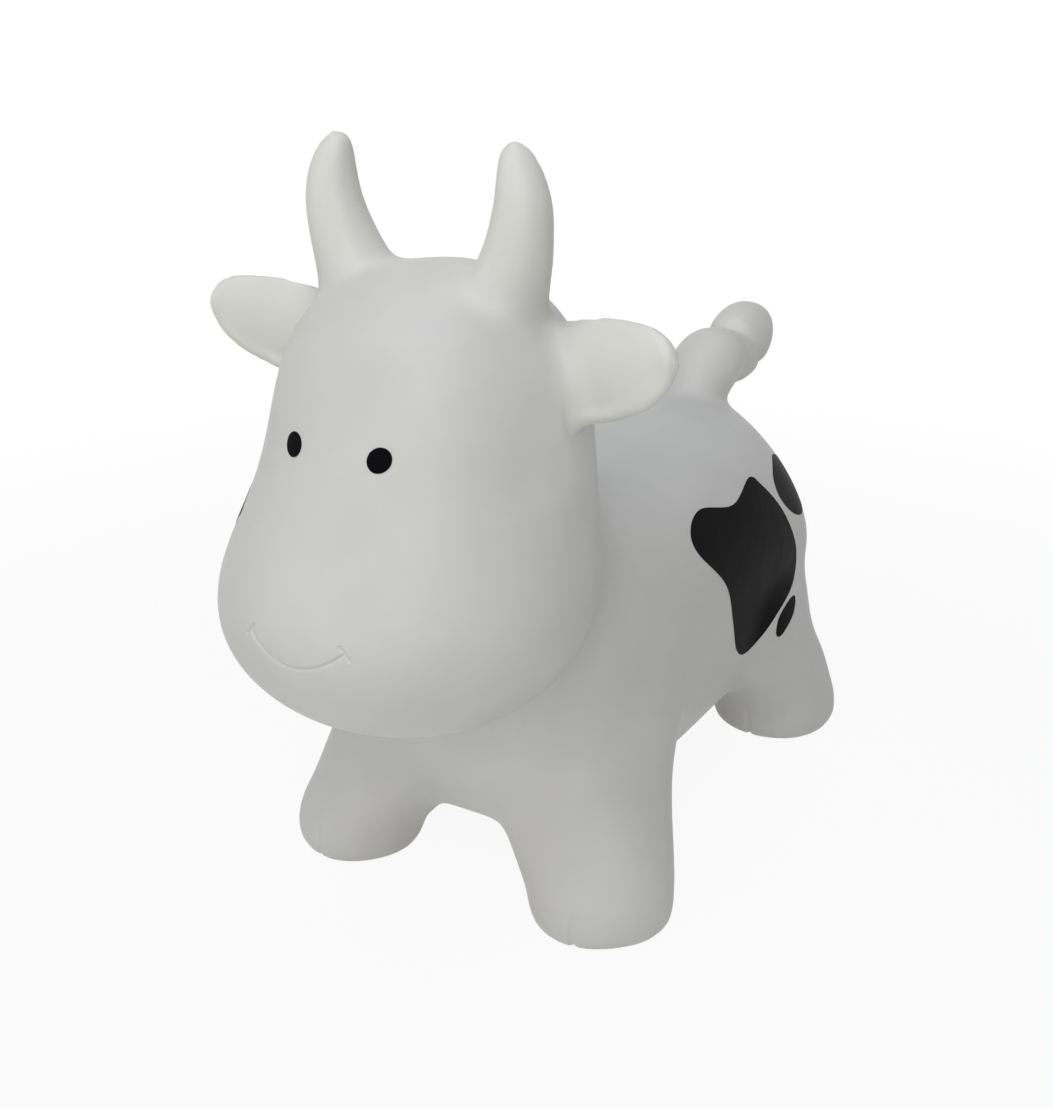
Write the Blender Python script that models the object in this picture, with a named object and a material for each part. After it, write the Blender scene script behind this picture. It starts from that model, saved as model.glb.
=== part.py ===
"""Bouncy ride-on cow: a hollow moulded skin whose horns, ears and tail flex, whose legs give under a
rider, and whose air valve sits under the belly. Metres, +Z up, nose towards -Y, standing on z = 0.
The cow's left side is +X."""

import math

import bmesh
import bpy
import numpy as np
from mathutils import Matrix, Vector
from mathutils.bvhtree import BVHTree

# Skin
WALL = 0.0020
SEAM_GAP = 0.0003
SKIN_CELL = 0.0055
SMOOTH_PASSES = 12
HOLLOW_PASSES = 28
HOLLOW_HEIGHTS = (0.030, 0.130)
HOLLOW_FADE = 0.025
OUTER_TRIANGLES = 3800
INNER_TRIANGLES = 2400
SOLE_FLAT_DEPTH = 0.0008
MERGE_DISTANCE = 0.000005
STEPS_BETWEEN_STATIONS = 3
RING_POINTS = 40
OVERRUN = 0.050
SHARP_ANGLE = math.radians(45)

# Torso: a barrel along Y
TORSO_LENGTH = 0.440
TORSO_WIDTH = 0.224
TORSO_HEIGHT = 0.232
BELLY_CLEARANCE = 0.040
BELLY_SQUARENESS_SHARE = 1.26
BELLY_LEAST_SQUARENESS = 2.36

# Head: an egg that overhangs the chest
HEAD_HEIGHT = 0.267
HEAD_WIDTH = 0.230
HEAD_DEPTH = 0.239
CHIN_CLEARANCE = 0.164
MUZZLE_OVERHANG = 0.130
NECK_SEAM_INSET = 0.053
NECK_SEAM_RISE = 0.181
NECK_TILT_ANGLE = math.radians(43)

# Legs
LEG_RADIUS = 0.050
LEG_HEIGHT = 0.165
LEG_SPREAD = 0.187
FRONT_LEG_INSET = 0.058
REAR_LEG_INSET = 0.060
LEG_SQUARENESS_SHARE = 2.2
FOOT_TURN_ANGLE = math.radians(40)
LEG_SEAM_RADIUS = 0.064
LEG_SEAM_HEIGHT = 0.080

# Horns
HORN_LENGTH = 0.1035
HORN_RADIUS = 0.026
HORN_ROOT_SPACING = 0.094
HORN_ROOT_DEPTH = 0.031
HORN_SETBACK = 0.143
HORN_BOW = 0.0175
HORN_LEAN = 0.0055
HORN_SEAM_RADIUS = 0.074
HORN_SEAM_RISE = 0.011
HORN_SEAM_WIDTH = 0.080

# Ears
EAR_LENGTH = 0.0925
EAR_WIDTH = 0.060
EAR_THICKNESS = 0.026
EAR_ROOT_SPACING = 0.140
EAR_ROOT_HEIGHT = 0.209
EAR_SETBACK = 0.156
EAR_RISE = 0.025
EAR_SWEEP = 0.0245
EAR_SEAM_RADIUS = 0.040
EAR_SEAM_OUT = 0.039
EAR_SEAM_WIDTH = 0.128

# Tail: a fat stub with a round tuft
TAIL_REACH = 0.129
TAIL_RISE = 0.080
TAIL_RADIUS = 0.030
TAIL_ROOT_INSET = 0.044
TAIL_ROOT_DEPTH = 0.047
TAIL_SEAM_RADIUS = 0.088
TAIL_SEAM_INSET = 0.028
TAIL_SEAM_RISE = 0.020
TAIL_SEAM_WIDTH = 0.090

# Eyes and painted patches, thin films on the skin
FILM = 0.0004
EYE_RADIUS = 0.0067
EYE_SPACING = 0.058
EYE_HEIGHT = 0.179
PATCH_START_SHARE = 0.15
PATCH_STEPS = 4

# Valve under the belly
VALVE_BORE_RADIUS = 0.0045
VALVE_NECK_RADIUS = 0.0066
VALVE_FLANGE_RADIUS = 0.0110
VALVE_FLANGE = 0.0014
VALVE_LIP_RADIUS = 0.0084
VALVE_LIP = 0.0012
VALVE_PAD_RADIUS = 0.0150
VALVE_PAD = 0.0042
VALVE_PAD_STANDOFF = 0.0014
PLUG_HEAD_RADIUS = 0.0088
PLUG_HEAD = 0.0022
PLUG_STEM = 0.0120
PLUG_TAPER_SHARE = 0.75
PLUG_DISH_RADIUS = 0.0056
PLUG_DISH = 0.0008
VALVE_BEVEL = 0.0005
TURNED_STEPS = 28
VALVE_CENTRE = Vector((0, 0, 0))

# Places that follow from the sizes above
TAIL_OVERHANG = TAIL_REACH - TAIL_ROOT_INSET
OVERALL_LENGTH = MUZZLE_OVERHANG + TORSO_LENGTH + TAIL_OVERHANG
MUZZLE_Y = -OVERALL_LENGTH / 2
TORSO_FRONT_Y = MUZZLE_Y + MUZZLE_OVERHANG
TORSO_REAR_Y = TORSO_FRONT_Y + TORSO_LENGTH
TORSO_CENTRE_Z = BELLY_CLEARANCE + TORSO_HEIGHT / 2
BACK_Z = BELLY_CLEARANCE + TORSO_HEIGHT
CROWN_Z = CHIN_CLEARANCE + HEAD_HEIGHT
HORN_Y = MUZZLE_Y + HORN_SETBACK
EAR_Y = MUZZLE_Y + EAR_SETBACK
EAR_Z = CHIN_CLEARANCE + EAR_ROOT_HEIGHT
TAIL_ROOT_Y = TORSO_REAR_Y - TAIL_ROOT_INSET
TAIL_ROOT_Z = BACK_Z - TAIL_ROOT_DEPTH

# Stations along the torso: along its length, rise of its height, half width, half height, squareness
TORSO_STATION_SHARES = [
    (0.000, 0.043, 0.10, 0.10, 2.00),
    (0.014, 0.030, 0.38, 0.38, 2.00),
    (0.043, 0.015, 0.63, 0.66, 2.10),
    (0.098, -0.005, 0.83, 0.89, 2.30),
    (0.180, -0.008, 0.93, 0.97, 2.40),
    (0.316, 0.000, 0.98, 1.00, 2.45),
    (0.498, 0.000, 1.00, 1.00, 2.45),
    (0.680, 0.000, 1.00, 0.99, 2.40),
    (0.793, 0.010, 0.99, 0.985, 2.02),
    (0.873, 0.015, 0.97, 0.965, 1.66),
    (0.934, 0.015, 0.86, 0.880, 1.58),
    (0.973, -0.010, 0.63, 0.66, 1.90),
    (0.993, -0.028, 0.35, 0.37, 2.00),
    (1.000, -0.030, 0.11, 0.11, 2.00),
]

# Stations up the head: up its height, front and back of its depth, half width
HEAD_STATION_SHARES = [
    (0.000, 0.331, 0.464, 0.10),
    (0.015, 0.255, 0.573, 0.33),
    (0.049, 0.172, 0.682, 0.58),
    (0.105, 0.088, 0.787, 0.785),
    (0.180, 0.025, 0.862, 0.93),
    (0.262, 0.000, 0.916, 1.00),
    (0.348, 0.013, 0.954, 1.00),
    (0.438, 0.059, 0.979, 0.95),
    (0.528, 0.117, 0.996, 0.89),
    (0.622, 0.163, 1.000, 0.845),
    (0.715, 0.197, 0.996, 0.815),
    (0.809, 0.238, 0.965, 0.77),
    (0.884, 0.289, 0.912, 0.675),
    (0.940, 0.360, 0.855, 0.54),
    (0.981, 0.444, 0.790, 0.37),
    (1.000, 0.540, 0.732, 0.14),
]

# Stations up a leg: up its height; of its radius: drawn in, drawn to the belly, half width, half length;
# and how much of the foot's turn it has
FRONT_LEG_STATION_SHARES = [
    (0.000, -0.13, -0.18, 0.80, 0.74, 1.00),
    (0.009, -0.13, -0.18, 0.88, 0.82, 1.00),
    (0.042, -0.13, -0.18, 0.96, 0.90, 1.00),
    (0.152, -0.06, -0.10, 1.00, 0.94, 1.00),
    (0.273, 0.17, 0.12, 1.11, 1.04, 0.80),
    (0.376, 0.34, 0.26, 1.17, 1.10, 0.40),
    (0.485, 0.51, 0.41, 1.22, 1.22, 0.00),
    (0.606, 0.67, 0.62, 1.24, 1.43, 0.00),
    (0.739, 0.78, 0.86, 1.16, 1.58, 0.00),
    (0.879, 0.88, 1.05, 1.02, 1.56, 0.00),
    (1.000, 0.95, 0.98, 0.80, 1.14, 0.00),
]
REAR_LEG_STATION_SHARES = [
    (0.000, 0.00, 0.06, 0.82, 0.86, 0.00),
    (0.009, 0.00, 0.06, 0.91, 0.95, 0.00),
    (0.042, 0.00, 0.06, 0.99, 1.04, 0.00),
    (0.152, 0.03, 0.10, 1.00, 1.06, 0.00),
    (0.273, 0.11, 0.25, 1.00, 1.13, 0.00),
    (0.376, 0.21, 0.45, 1.04, 1.34, 0.00),
    (0.485, 0.40, 0.72, 1.10, 1.54, 0.00),
    (0.606, 0.53, 0.90, 1.15, 1.72, 0.00),
    (0.739, 0.63, 1.00, 1.19, 1.86, 0.00),
    (0.879, 0.74, 1.08, 1.13, 1.80, 0.00),
    (1.000, 0.87, 1.20, 0.85, 1.46, 0.00),
]

# Stations along a horn: up its length, of its bow, of its lean, of its radius
HORN_STATION_SHARES = [
    (0.000, 0.00, 0.00, 1.00),
    (0.193, 0.29, 0.18, 0.92),
    (0.367, 0.66, 0.36, 0.81),
    (0.531, 0.91, 0.73, 0.72),
    (0.676, 1.00, 0.91, 0.65),
    (0.812, 0.89, 1.00, 0.55),
    (0.918, 0.69, 0.91, 0.42),
    (0.976, 0.57, 0.73, 0.29),
    (1.000, 0.57, 0.73, 0.10),
]

# Stations along an ear: out its length, of its sweep, of its rise, of its width, of its thickness
EAR_STATION_SHARES = [
    (0.000, 0.00, 0.00, 0.96, 1.00),
    (0.200, 0.16, 0.14, 1.04, 0.85),
    (0.389, 0.37, 0.31, 1.05, 0.77),
    (0.578, 0.57, 0.52, 1.00, 0.77),
    (0.756, 0.78, 0.74, 0.86, 0.73),
    (0.889, 0.90, 0.92, 0.63, 0.65),
    (0.967, 0.98, 1.02, 0.36, 0.54),
    (1.000, 1.00, 1.06, 0.10, 0.24),
]

# Stations along the tail: of its reach, of its rise, then half width and half height of its radius
TAIL_STATION_SHARES = [
    (-0.140, 0.000, 0.76, 0.68),
    (-0.130, 0.320, 0.80, 0.70),
    (-0.060, 0.540, 0.88, 0.80),
    (0.070, 0.720, 0.99, 0.89),
    (0.215, 0.815, 0.97, 0.90),
    (0.370, 0.795, 0.70, 0.77),
    (0.500, 0.780, 0.74, 0.94),
    (0.630, 0.855, 0.88, 1.04),
    (0.770, 0.940, 0.86, 0.97),
    (0.880, 1.000, 0.70, 0.70),
    (0.960, 1.030, 0.42, 0.40),
    (1.000, 1.040, 0.12, 0.10),
]

# Outlines of the painted patches on the torso: along its length, up its height
LEFT_FLANK_PATCH_SHARES = [
    (0.678, 0.841),
    (0.578, 0.810),
    (0.478, 0.849),
    (0.418, 0.820),
    (0.413, 0.754),
    (0.485, 0.612),
    (0.515, 0.466),
    (0.545, 0.345),
    (0.601, 0.302),
    (0.690, 0.379),
    (0.790, 0.444),
    (0.808, 0.520),
    (0.769, 0.668),
    (0.710, 0.800),
]
LEFT_HIP_PATCH_SHARES = [
    (0.768, 0.388),
    (0.736, 0.390),
    (0.694, 0.362),
    (0.680, 0.316),
    (0.690, 0.295),
    (0.718, 0.313),
    (0.752, 0.345),
]
LEFT_RUMP_PATCH_SHARES = [
    (0.788, 0.800),
    (0.765, 0.765),
    (0.772, 0.715),
    (0.815, 0.650),
    (0.870, 0.618),
    (0.926, 0.640),
    (0.950, 0.690),
    (0.945, 0.740),
    (0.910, 0.785),
    (0.850, 0.820),
]
RIGHT_FLANK_PATCH_SHARES = [
    (0.330, 0.800),
    (0.430, 0.840),
    (0.520, 0.780),
    (0.600, 0.700),
    (0.630, 0.600),
    (0.580, 0.500),
    (0.500, 0.460),
    (0.460, 0.380),
    (0.380, 0.330),
    (0.310, 0.380),
    (0.300, 0.500),
    (0.260, 0.600),
    (0.270, 0.720),
]

# Outline of the painted patch on the right cheek: along the head's depth, up its height
RIGHT_CHEEK_PATCH_SHARES = [
    (0.250, 0.465),
    (0.275, 0.490),
    (0.360, 0.525),
    (0.480, 0.510),
    (0.575, 0.450),
    (0.570, 0.370),
    (0.480, 0.330),
    (0.380, 0.355),
    (0.310, 0.405),
]

# Seam wedges: how far round the pivot each one reaches, in degrees, and how far out of its radius
HORN_SEAM_ANGLES = (-34, 34)
EAR_SEAM_ANGLES = (-36, 36)
TAIL_SEAM_ANGLES = (-32, 76)
SEAM_REACH_SHARE = 3.0

SIDES = {"left": 1, "right": -1}
ENDS = {"front": -1, "rear": 1}

X_AXIS = Vector((1, 0, 0))
Y_AXIS = Vector((0, 1, 0))
Z_AXIS = Vector((0, 0, 1))


def clear_scene():
    for obj in list(bpy.data.objects):
        bpy.data.objects.remove(obj)


def material(name, colour, roughness):
    made = bpy.data.materials.new(name)
    made.use_nodes = True
    surface = made.node_tree.nodes["Principled BSDF"]
    surface.inputs["Base Color"].default_value = (*colour, 1)
    surface.inputs["Roughness"].default_value = roughness
    surface.inputs["Metallic"].default_value = 0
    return made


def new_object(name, mesh, finish=None):
    obj = bpy.data.objects.new(name, mesh)
    bpy.context.scene.collection.objects.link(obj)
    if finish:
        mesh.materials.clear()
        mesh.materials.append(finish)
    return obj


def mesh_from(bm, name):
    mesh = bpy.data.meshes.new(name)
    bm.to_mesh(mesh)
    bm.free()
    return mesh


def settled(obj, name):
    """Replaces an object by one that holds its mesh with its modifiers worked out."""
    graph = bpy.context.evaluated_depsgraph_get()
    mesh = bpy.data.meshes.new_from_object(obj.evaluated_get(graph), depsgraph=graph)
    bpy.data.objects.remove(obj)
    return new_object(name, mesh)


def smooth_stations(stations):
    """A smooth curve through hand-chosen stations: each row is interpolated to the next by a cubic."""
    rows = np.array(stations, float)
    last = len(rows) - 1
    out = []
    for i in range(last):
        before = rows[max(i - 1, 0)]
        here = rows[i]
        there = rows[i + 1]
        after = rows[min(i + 2, last)]
        for step in range(STEPS_BETWEEN_STATIONS):
            t = step / STEPS_BETWEEN_STATIONS
            bend = 2 * before - 5 * here + 4 * there - after
            twist = 3 * here - before - 3 * there + after
            out.append(here + ((there - before) * t + bend * t**2 + twist * t**3) / 2)
    out.append(rows[last])
    return out


def rounded_power(value, power):
    return math.copysign(abs(value) ** power, value)


def loft_ring(bm, centre, across, along, half_across, half_along, squareness=2.0, squareness_below=None):
    """One closed ring of a loft: an ellipse, or a squarer outline where squareness is above 2."""
    ring = bmesh.ops.create_circle(bm, segments=RING_POINTS, radius=1)["verts"]
    for vertex in ring:
        square = squareness if vertex.co.y > 0 else squareness_below or squareness
        u = rounded_power(vertex.co.x, 2 / square) * half_across
        v = rounded_power(vertex.co.y, 2 / square) * half_along
        vertex.co = centre + across * u + along * v
    return ring


def loft(name, sections):
    """A closed solid through the sections, with a flat cap at each end."""
    bm = bmesh.new()
    rings = [loft_ring(bm, *section) for section in sections]
    edges = []
    for ring in rings:
        members = set(ring)
        edges.append([e for e in bm.edges if e.verts[0] in members and e.verts[1] in members])
    for near, far in zip(edges, edges[1:]):
        bmesh.ops.bridge_loops(bm, edges=near + far)
    for end in (edges[0], edges[-1]):
        bmesh.ops.contextual_create(bm, geom=end)
    bmesh.ops.recalc_face_normals(bm, faces=bm.faces)
    return new_object(name, mesh_from(bm, name))


def path_loft(name, places, radii, across_hint):
    """A loft whose rings stand square to a path; across_hint sets which way the first radius points."""
    sections = []
    for i, (place, (wide, thick)) in enumerate(zip(places, radii)):
        ahead = places[min(i + 1, len(places) - 1)]
        behind = places[max(i - 1, 0)]
        along = (ahead - behind).normalized()
        thin_way = along.cross(across_hint).normalized()
        wide_way = thin_way.cross(along).normalized()
        sections.append((place, wide_way, thin_way, wide, thick))
    return loft(name, sections)


def torso_lobe():
    sections = []
    for along, rise, width, height, squareness in smooth_stations(TORSO_STATION_SHARES):
        centre = Vector((0, TORSO_FRONT_Y + along * TORSO_LENGTH, TORSO_CENTRE_Z + rise * TORSO_HEIGHT))
        half_width = width * TORSO_WIDTH / 2
        half_height = height * TORSO_HEIGHT / 2
        below = max(squareness * BELLY_SQUARENESS_SHARE, BELLY_LEAST_SQUARENESS)
        sections.append((centre, X_AXIS, Z_AXIS, half_width, half_height, squareness, below))
    return loft("torso_lobe", sections)


def head_lobe():
    sections = []
    for up, front, back, width in smooth_stations(HEAD_STATION_SHARES):
        middle = MUZZLE_Y + (front + back) / 2 * HEAD_DEPTH
        centre = Vector((0, middle, CHIN_CLEARANCE + up * HEAD_HEIGHT))
        sections.append((centre, X_AXIS, Y_AXIS, width * HEAD_WIDTH / 2, (back - front) / 2 * HEAD_DEPTH))
    return loft("head_lobe", sections)


def leg_centre(side, end):
    """Where the leg stands on the ground."""
    front = TORSO_FRONT_Y + FRONT_LEG_INSET
    rear = TORSO_REAR_Y - REAR_LEG_INSET
    return Vector((side * LEG_SPREAD / 2, front if end < 0 else rear, 0))


def leg_lobe(side, end):
    foot = leg_centre(side, end)
    stations = FRONT_LEG_STATION_SHARES if end < 0 else REAR_LEG_STATION_SHARES
    sections = []
    for up, drawn_in, drawn_to_belly, width, length, turned in smooth_stations(stations):
        lean = Vector((-side * drawn_in * LEG_RADIUS, -end * drawn_to_belly * LEG_RADIUS, up * LEG_HEIGHT))
        turn = Matrix.Rotation(side * turned * FOOT_TURN_ANGLE, 3, "Z")
        across = turn @ X_AXIS
        along = turn @ Y_AXIS
        half = (width * LEG_RADIUS, length * LEG_RADIUS)
        sections.append((foot + lean, across, along, *half, LEG_SQUARENESS_SHARE))
    return loft("leg_lobe", sections)


def horn_lobe(side):
    places = []
    radii = []
    for up, bow, lean, radius in smooth_stations(HORN_STATION_SHARES):
        out = side * (HORN_ROOT_SPACING / 2 + bow * HORN_BOW)
        places.append(Vector((out, HORN_Y - lean * HORN_LEAN, CROWN_Z - HORN_ROOT_DEPTH + up * HORN_LENGTH)))
        radii.append((radius * HORN_RADIUS, radius * HORN_RADIUS))
    return path_loft("horn_lobe", places, radii, Y_AXIS)


def ear_lobe(side):
    places = []
    radii = []
    for out, sweep, rise, width, thickness in smooth_stations(EAR_STATION_SHARES):
        across = side * (EAR_ROOT_SPACING / 2 + out * EAR_LENGTH)
        places.append(Vector((across, EAR_Y - sweep * EAR_SWEEP, EAR_Z + rise * EAR_RISE)))
        radii.append((width * EAR_WIDTH / 2, thickness * EAR_THICKNESS / 2))
    return path_loft("ear_lobe", places, radii, Z_AXIS)


def tail_lobe():
    places = []
    radii = []
    for reach, rise, width, height in smooth_stations(TAIL_STATION_SHARES):
        places.append(Vector((0, TAIL_ROOT_Y + reach * TAIL_REACH, TAIL_ROOT_Z + rise * TAIL_RISE)))
        radii.append((width * TAIL_RADIUS, height * TAIL_RADIUS))
    return path_loft("tail_lobe", places, radii, X_AXIS)


def all_lobes():
    lobes = [torso_lobe(), head_lobe(), tail_lobe()]
    for side in SIDES.values():
        lobes.append(horn_lobe(side))
        lobes.append(ear_lobe(side))
        for end in ENDS.values():
            lobes.append(leg_lobe(side, end))
    return lobes


def rounder_hollows(skin):
    """Rounds the hollows between the legs and the belly further, and leaves the rest of the skin alone."""
    low, high = HOLLOW_HEIGHTS
    group = skin.vertex_groups.new(name="hollows")
    for vertex in skin.data.vertices:
        height = vertex.co.z
        share = min((height - low) / HOLLOW_FADE, (high - height) / HOLLOW_FADE + 1, 1)
        if share > 0:
            group.add([vertex.index], share, "REPLACE")
    smooth = skin.modifiers.new("rounder hollows", "SMOOTH")
    smooth.iterations = HOLLOW_PASSES
    smooth.vertex_group = group.name
    return settled(skin, "skin")


def fused(lobes):
    """One smooth closed surface round all the lobes, with soft creases where they meet."""
    bm = bmesh.new()
    for lobe in lobes:
        bm.from_mesh(lobe.data)
        bpy.data.objects.remove(lobe)
    skin = new_object("skin", mesh_from(bm, "skin"))
    remesh = skin.modifiers.new("one surface", "REMESH")
    remesh.mode = "VOXEL"
    remesh.voxel_size = SKIN_CELL
    smooth = skin.modifiers.new("soft creases", "SMOOTH")
    smooth.iterations = SMOOTH_PASSES
    return rounder_hollows(settled(skin, "skin"))


def left_half(skin):
    """The skin cut down the middle, keeping the cow's left side."""
    bm = bmesh.new()
    bm.from_mesh(skin.data)
    everything = bm.verts[:] + bm.edges[:] + bm.faces[:]
    bmesh.ops.bisect_plane(bm, geom=everything, plane_co=(0, 0, 0), plane_no=(-1, 0, 0), clear_outer=True)
    bmesh.ops.triangulate(bm, faces=bm.faces)
    bpy.data.objects.remove(skin)
    return new_object("skin", mesh_from(bm, "skin"))


def on_the_middle(skin):
    """Puts the half's open edge exactly on the middle plane, with no face lying in it."""
    bm = bmesh.new()
    bm.from_mesh(skin.data)
    for edge in bm.edges:
        if edge.is_boundary:
            for vertex in edge.verts:
                vertex.co.x = 0
    flat = [f for f in bm.faces if all(v.co.x == 0 for v in f.verts)]
    bmesh.ops.delete(bm, geom=flat, context="FACES")
    bpy.data.objects.remove(skin)
    return new_object("skin", mesh_from(bm, "skin"))


def thinned(skin, triangles):
    """The same surface with fewer, larger faces where it is nearly flat, alike on both sides."""
    skin = left_half(skin)
    thin = skin.modifiers.new("fewer faces", "DECIMATE")
    thin.ratio = min(1.0, triangles / 2 / len(skin.data.polygons))
    skin = on_the_middle(settled(skin, "skin"))
    mirror = skin.modifiers.new("both sides", "MIRROR")
    mirror.merge_threshold = MERGE_DISTANCE
    return settled(skin, "skin")


def drawn_in(skin):
    """A copy of the skin one wall's thickness further in."""
    inner = new_object("inner", skin.data.copy())
    step = inner.modifiers.new("one wall in", "DISPLACE")
    step.strength = -WALL
    step.mid_level = 0
    return settled(inner, "inner")


def flat_soled(skin, floor):
    """Cuts the soles flat at the height of the floor."""
    bm = bmesh.new()
    bm.from_mesh(skin.data)
    everything = bm.verts[:] + bm.edges[:] + bm.faces[:]
    section = bmesh.ops.bisect_plane(
        bm, geom=everything, plane_co=(0, 0, floor), plane_no=(0, 0, -1), clear_outer=True
    )
    rim = [e for e in section["geom_cut"] if isinstance(e, bmesh.types.BMEdge)]
    bmesh.ops.holes_fill(bm, edges=rim)
    bmesh.ops.recalc_face_normals(bm, faces=bm.faces)
    bmesh.ops.triangulate(bm, faces=bm.faces)
    bpy.data.objects.remove(skin)
    return new_object("skin", mesh_from(bm, "skin"))


def both_surfaces():
    """The outer and the inner surface of the skin, standing on the ground and centred on their length."""
    fine = fused(all_lobes())
    inner = drawn_in(fine)
    outer = thinned(fine, OUTER_TRIANGLES)
    inner = thinned(inner, INNER_TRIANGLES)
    lengths = [v.co.y for v in outer.data.vertices]
    floor = min(v.co.z for v in outer.data.vertices) + SOLE_FLAT_DEPTH
    outer = flat_soled(outer, floor)
    inner = flat_soled(inner, floor + WALL)
    to_ground = Matrix.Translation((0, -(min(lengths) + max(lengths)) / 2, -floor))
    outer.data.transform(to_ground)
    inner.data.transform(to_ground)
    return outer, inner


def hollow(outer, inner):
    """The skin as a wall between its outer and its inner surface."""
    bm = bmesh.new()
    bm.from_mesh(inner.data)
    bmesh.ops.reverse_faces(bm, faces=bm.faces)
    bm.from_mesh(outer.data)
    return new_object("shell", mesh_from(bm, "shell"))


def film(skin):
    """A thin sheet just off the skin, from which the eyes and the painted patches are cut."""
    sheet = new_object("film", skin.data.copy())
    lift = sheet.modifiers.new("off the skin", "DISPLACE")
    lift.strength = SEAM_GAP
    lift.mid_level = 0
    body = sheet.modifiers.new("sheet", "SOLIDIFY")
    body.thickness = FILM
    body.offset = 1
    return settled(sheet, "film")


def guide(obj):
    obj.hide_render = True
    obj.display_type = "WIRE"
    return obj


def seam_wedge(pivot, axis, outward, radius, angles, length):
    """What lies beyond a seam that is round about the pivot's axis, so the lobe can turn without rubbing."""
    sideways = axis.cross(outward)
    steps = TURNED_STEPS
    bm = bmesh.new()
    outline = []
    for reach, turn in ((radius, 1), (radius * SEAM_REACH_SHARE, -1)):
        for step in range(steps + 1)[::turn]:
            angle = math.radians(angles[0] + (angles[1] - angles[0]) * step / steps)
            place = pivot + (outward * math.cos(angle) + sideways * math.sin(angle)) * reach
            outline.append(bm.verts.new(place - axis * length / 2))
    face = bm.faces.new(outline)
    grown = bmesh.ops.extrude_face_region(bm, geom=[face])["geom"]
    bmesh.ops.translate(bm, verts=[v for v in grown if isinstance(v, bmesh.types.BMVert)], vec=axis * length)
    bmesh.ops.recalc_face_normals(bm, faces=bm.faces)
    return guide(new_object("seam wedge", mesh_from(bm, "seam wedge")))


def drum(centre, radius, low, high):
    """An upright cylinder between two heights."""
    bm = bmesh.new()
    place = Matrix.Translation((centre.x, centre.y, (low + high) / 2))
    bmesh.ops.create_cone(
        bm,
        cap_ends=True,
        segments=TURNED_STEPS,
        radius1=radius,
        radius2=radius,
        depth=high - low,
        matrix=place,
    )
    return guide(new_object("drum", mesh_from(bm, "drum")))


def head_side(gap):
    """The half space in front of the neck seam, moved forward by gap."""
    size = 2 * OVERALL_LENGTH
    bm = bmesh.new()
    bmesh.ops.create_cube(bm, size=size)
    seam = Vector((0, TORSO_FRONT_Y + NECK_SEAM_INSET, BELLY_CLEARANCE + NECK_SEAM_RISE))
    forward = Vector((0, -math.sin(NECK_TILT_ANGLE), math.cos(NECK_TILT_ANGLE)))
    turn = Matrix.Rotation(NECK_TILT_ANGLE, 4, "X")
    bmesh.ops.transform(bm, matrix=Matrix.Translation(seam + forward * (size / 2 + gap)) @ turn, verts=bm.verts)
    return guide(new_object("head side", mesh_from(bm, "head side")))


def cut(obj, tool, operation):
    """One exact Boolean on the object; the tool is used up."""
    step = obj.modifiers.new(operation, "BOOLEAN")
    step.operation = operation
    step.solver = "EXACT"
    step.object = tool
    made = settled(obj, obj.name)
    bpy.data.objects.remove(tool)
    return made


def largest_body(mesh):
    """Drops the loose crumbs that a cut leaves beside the main body."""
    bm = bmesh.new()
    bm.from_mesh(mesh)
    bmesh.ops.remove_doubles(bm, verts=bm.verts, dist=MERGE_DISTANCE)
    left = set(bm.verts)
    bodies = []
    while left:
        body = set()
        front = [next(iter(left))]
        while front:
            vertex = front.pop()
            if vertex in body:
                continue
            body.add(vertex)
            front.extend(e.other_vert(vertex) for e in vertex.link_edges)
        left -= body
        bodies.append(body)
    keep = max(bodies, key=len)
    bmesh.ops.delete(bm, geom=[v for v in bm.verts if v not in keep], context="VERTS")
    bmesh.ops.triangulate(bm, faces=bm.faces)
    bm.to_mesh(mesh)
    bm.free()


def finished(obj, name, finish, pivot=None):
    """Names a piece, gives it its finish and sets its origin on its joint's axis."""
    largest_body(obj.data)
    obj.name = name
    obj.data.name = name
    obj.data.materials.clear()
    obj.data.materials.append(finish)
    if pivot is not None:
        obj.data.transform(Matrix.Translation(-pivot))
        obj.location = pivot
    obj.data.shade_smooth()
    obj.data.set_sharp_from_angle(angle=SHARP_ANGLE)
    return obj


def copy_of(shell, name):
    return new_object(name, shell.data.copy())


def horn_pivot(side):
    return Vector((side * HORN_ROOT_SPACING / 2, HORN_Y, CROWN_Z + HORN_SEAM_RISE - HORN_SEAM_RADIUS))


def ear_pivot(side):
    out = EAR_ROOT_SPACING / 2 + EAR_SEAM_OUT - EAR_SEAM_RADIUS
    return Vector((side * out, EAR_Y, EAR_Z))


def tail_pivot():
    height = BACK_Z + TAIL_SEAM_RISE - TAIL_SEAM_RADIUS
    return Vector((0, TORSO_REAR_Y - TAIL_SEAM_INSET, height))


def horn_wedge(side, slack):
    middle = horn_pivot(side) + X_AXIS * side * HORN_BOW / 2
    radius = HORN_SEAM_RADIUS + slack
    return seam_wedge(middle, X_AXIS, Z_AXIS, radius, HORN_SEAM_ANGLES, HORN_SEAM_WIDTH)


def ear_wedge(side, slack):
    radius = EAR_SEAM_RADIUS + slack
    return seam_wedge(ear_pivot(side), Z_AXIS, X_AXIS * side, radius, EAR_SEAM_ANGLES, EAR_SEAM_WIDTH)


def tail_wedge(slack):
    radius = TAIL_SEAM_RADIUS + slack
    return seam_wedge(tail_pivot(), -X_AXIS, Z_AXIS, radius, TAIL_SEAM_ANGLES, TAIL_SEAM_WIDTH)


def leg_drum(side, end, slack):
    centre = leg_centre(side, end)
    return drum(centre, LEG_SEAM_RADIUS + slack, -OVERRUN, LEG_SEAM_HEIGHT + slack)


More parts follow.
